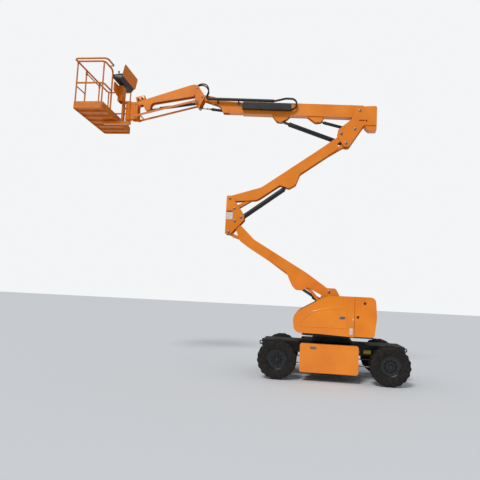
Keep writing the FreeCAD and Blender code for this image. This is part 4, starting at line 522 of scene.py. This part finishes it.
# Cable carrier: folded black trough and tube, with the chain's loop between them; its links, 36 mm apart,
# are pairs of snapped black nylon plates, so the loop reads as a row of small plates.
black_nylon = mottle(shader("black_nylon_links", "#131314", 0.5), ("#0F0F10", "#1D1D1E"), 0.03, (0.4, 0.6), 0.0002,
                     0.004)
paint(["cable_chain"], black_nylon)
paint(["cable_trough", "cable_tube"], black_enamel)
BOOM_PIVOT, BOOM_SLOPE = np.array((0.486655, 0.0, 5.923196)), math.radians(2.0)
along_boom = np.array((math.cos(BOOM_SLOPE), 0, -math.sin(BOOM_SLOPE)))
above_boom = np.array((math.sin(BOOM_SLOPE), 0, math.cos(BOOM_SLOPE)))
LINK_PITCH, LINK_PLATE = 0.036, 0.030
turn_angle = np.linspace(np.pi / 2, -np.pi / 2, 40)
loop = np.vstack([[(-1.925, 0.151), (-1.69, 0.212)],
                  np.stack([-1.558 + 0.128 * np.cos(turn_angle), 0.086 + 0.128 * np.sin(turn_angle)], axis=-1),
                  [(-1.81, -0.042)]])
run = np.r_[0, np.cumsum(np.linalg.norm(np.diff(loop, axis=0), axis=1))]
spots = np.arange(LINK_PITCH / 2, run[-1], LINK_PITCH)
centres = np.stack([np.interp(spots, run, loop[:, i]) for i in (0, 1)], axis=-1)
ahead = np.stack([np.interp(spots + 0.004, run, loop[:, i]) - np.interp(spots - 0.004, run, loop[:, i])
                  for i in (0, 1)], axis=-1)
ahead /= np.linalg.norm(ahead, axis=1, keepdims=True)
plates = []
for (x, z), (dx, dz) in zip(centres, ahead):
    place = BOOM_PIVOT + x * along_boom + z * above_boom
    up = -dz * along_boom + dx * above_boom
    for face, side in ((-0.185, -1), (-0.145, 1)):
        plates.append(slab(rounded_box(LINK_PLATE, LINK_PLATE, 0.008, 4), place + (0, face, 0), (0, side, 0), 0.0025,
                           0.0008, up))
make_piece("chain_link_plates", plates, "cable_chain", black_nylon)
BOOM_FACE = 0.1002
boom_bolts = [BOOM_PIVOT + x * along_boom + z * above_boom + (0, BOOM_FACE, 0)
              for x in (-2.64, -2.56) for z in (0.09, -0.10)]
make_piece("wear_pad_bolts", bolts(boom_bolts, (0, 1, 0), 0.017), "boom_outer", zinc_steel)

# Hoses at the jib: two of black rubber arch from the cable tube over the jib's base and ride on no body.
# A valve box in the arm's enamel stands on the arm's far end, with two black coils.
hose_rubber = mottle(shader("hydraulic_hose_rubber", "#121212", 0.55), ("#0E0E0E", "#1C1B1A"), 0.03, (0.45, 0.7),
                     0.0001, 0.002)
HOSE = 0.015
TUBE_END = np.array((-3.012, -0.150, 6.196))
JIB_TOP = np.array((-3.36, -0.048, 6.551))
for number, (shift_y, rise) in enumerate([(0.0, 0.0), (0.030, -0.045)]):
    middle = [(-3.06, -0.150, 6.24), (-3.02, -0.130, 6.42 + rise), (-3.08, -0.100, 6.555 + rise),
              (-3.20, -0.070, 6.60 + rise / 2)]
    path = smooth_path([TUBE_END + (0, shift_y, 0)] + [np.add(p, (0, shift_y, 0)) for p in middle]
                       + [JIB_TOP + (0, shift_y, 0)], 10)
    hose = make_piece("jib_hose_%d" % (number + 1), [along_path(path, HOSE, 14)], None, hose_rubber)
    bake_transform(hose)
VALVE = np.array((-4.690, 0, 6.205))
JIB_SLOPE = math.radians(14.2)
along_jib = np.array((-math.cos(JIB_SLOPE), 0, -math.sin(JIB_SLOPE)))
above_jib = np.array((-math.sin(JIB_SLOPE), 0, math.cos(JIB_SLOPE)))
block = slab(rounded_box(0.22, 0.12, 0.012), VALVE, above_jib, 0.110, 0.006, (0, 1, 0))
coils = [turned([(0, 0), (0, 0.019), (0.045, 0.019), (0.049, 0.015), (0.049, 0)],
                VALVE + above_jib * 0.030 + along_jib * step + (0, -0.110, 0), (0, 1, 0), 24) for step in (-0.05, 0.05)]
make_piece("jib_valve_box", [block], "jib_arm", steel_enamel)
make_piece("jib_valve_coils", coils, "jib_arm", black_enamel)

# Basket: aluminium tubes and folded sheet in orange powder coat, less glossy than the enamel and painted a
# browner, darker orange as painted shade; the tread plate has rolled lens-shaped studs, set crosswise in turn.
# Painted shade: the coat's orange is darker and browner than the enamel's, standing in for shade on the thin basket
# tubes.
powder_coat_painted_shade = mottle(shader("orange_powder_coat_painted_shade", "#D67214", 0.5), ("#C96A10", "#DC7A18"), 0.12, (0.42, 0.6), 0.0002,
                     0.003)
paint(["basket_floor", "basket_rails", "entry_bar"], powder_coat_painted_shade)
STUD_LENGTH, STUD_WIDTH, STUD_HEIGHT, STUD_PITCH = 0.030, 0.010, 0.0015, 0.045
DECK_TOP, DECK_X, DECK_Y = 5.73169, (-5.900, -5.332), (-0.845, 0.845)
angle = np.linspace(0, 2 * np.pi, 8, endpoint=False)
lens = np.stack([np.cos(angle) * STUD_LENGTH / 2, np.sin(angle) * np.abs(np.sin(angle)) ** 0.3 * STUD_WIDTH / 2],
                axis=-1)
studs = [slab(lens if (i + j) % 2 else lens[:, ::-1] * (1, -1), (x, y, DECK_TOP), (0, 0, 1), STUD_HEIGHT, 0.0014)
         for i, x in enumerate(np.arange(*DECK_X, STUD_PITCH)) for j, y in enumerate(np.arange(*DECK_Y, STUD_PITCH))]
make_piece("tread_studs", studs, "basket", powder_coat_painted_shade)

# Console: black ABS box on the inner posts with two joysticks in rubber gaiters, a row of toggles and a
# red stop button, and two zinc strips along its side. The covered blocks share its black plastic.
black_abs = mottle(shader("black_abs", "#161617", 0.45), ("#121213", "#1F1F20"), 0.05, (0.38, 0.55), 0.0002, 0.0015)
red_abs = mottle(shader("red_abs", "#B01814", 0.35), ("#A4140F", "#BC201B"), 0.03, (0.28, 0.42))
paint(["console", "battery_boxes", "power_block"], black_abs)
low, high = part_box("console")
lean = math.atan2(0.030, high[0] - low[0])
panel_up = np.array((-math.sin(lean), 0, math.cos(lean)))


def on_panel(x, y):
    """A place on the console's sloping top, which rises from its inner edge to its outer edge."""
    return np.array((x, y, high[2] - 0.030 + (x - low[0]) * math.tan(lean)))


GAITER = [(0, 0), (0, 0.040), (0.010, 0.036), (0.014, 0.038), (0.022, 0.029), (0.026, 0.031), (0.034, 0.020),
          (0.040, 0.012), (0.040, 0)]
GRIP = [(0.038, 0), (0.038, 0.008), (0.070, 0.009), (0.078, 0.016), (0.110, 0.019), (0.128, 0.014), (0.134, 0)]
TOGGLE = [(0, 0), (0, 0.011), (0.004, 0.011), (0.006, 0.005), (0.026, 0.006), (0.030, 0)]
MUSHROOM = [(0, 0), (0, 0.013), (0.014, 0.013), (0.016, 0.024), (0.026, 0.024), (0.032, 0.016), (0.034, 0)]
controls = [turned(shape, on_panel(-5.17, y), panel_up, 28) for y in (-0.33, 0.20) for shape in (GAITER, GRIP)]
controls += [turned(TOGGLE, on_panel(-5.12, y), panel_up, 16) for y in np.linspace(-0.20, 0.08, 7)]
make_piece("console_controls", controls, "basket", black_rubber)
make_piece("stop_button", [turned(MUSHROOM, on_panel(-5.20, -0.06), panel_up, 32)], "basket", red_abs)
strips = [slab(rounded_box(0.19, 0.014, 0.003), (-5.150, -0.450, z), (0, -1, 0), 0.002, 0.0006, (0, 0, 1))
          for z in (6.625, 6.655)]
make_piece("console_strips", strips, "basket", zinc_steel)
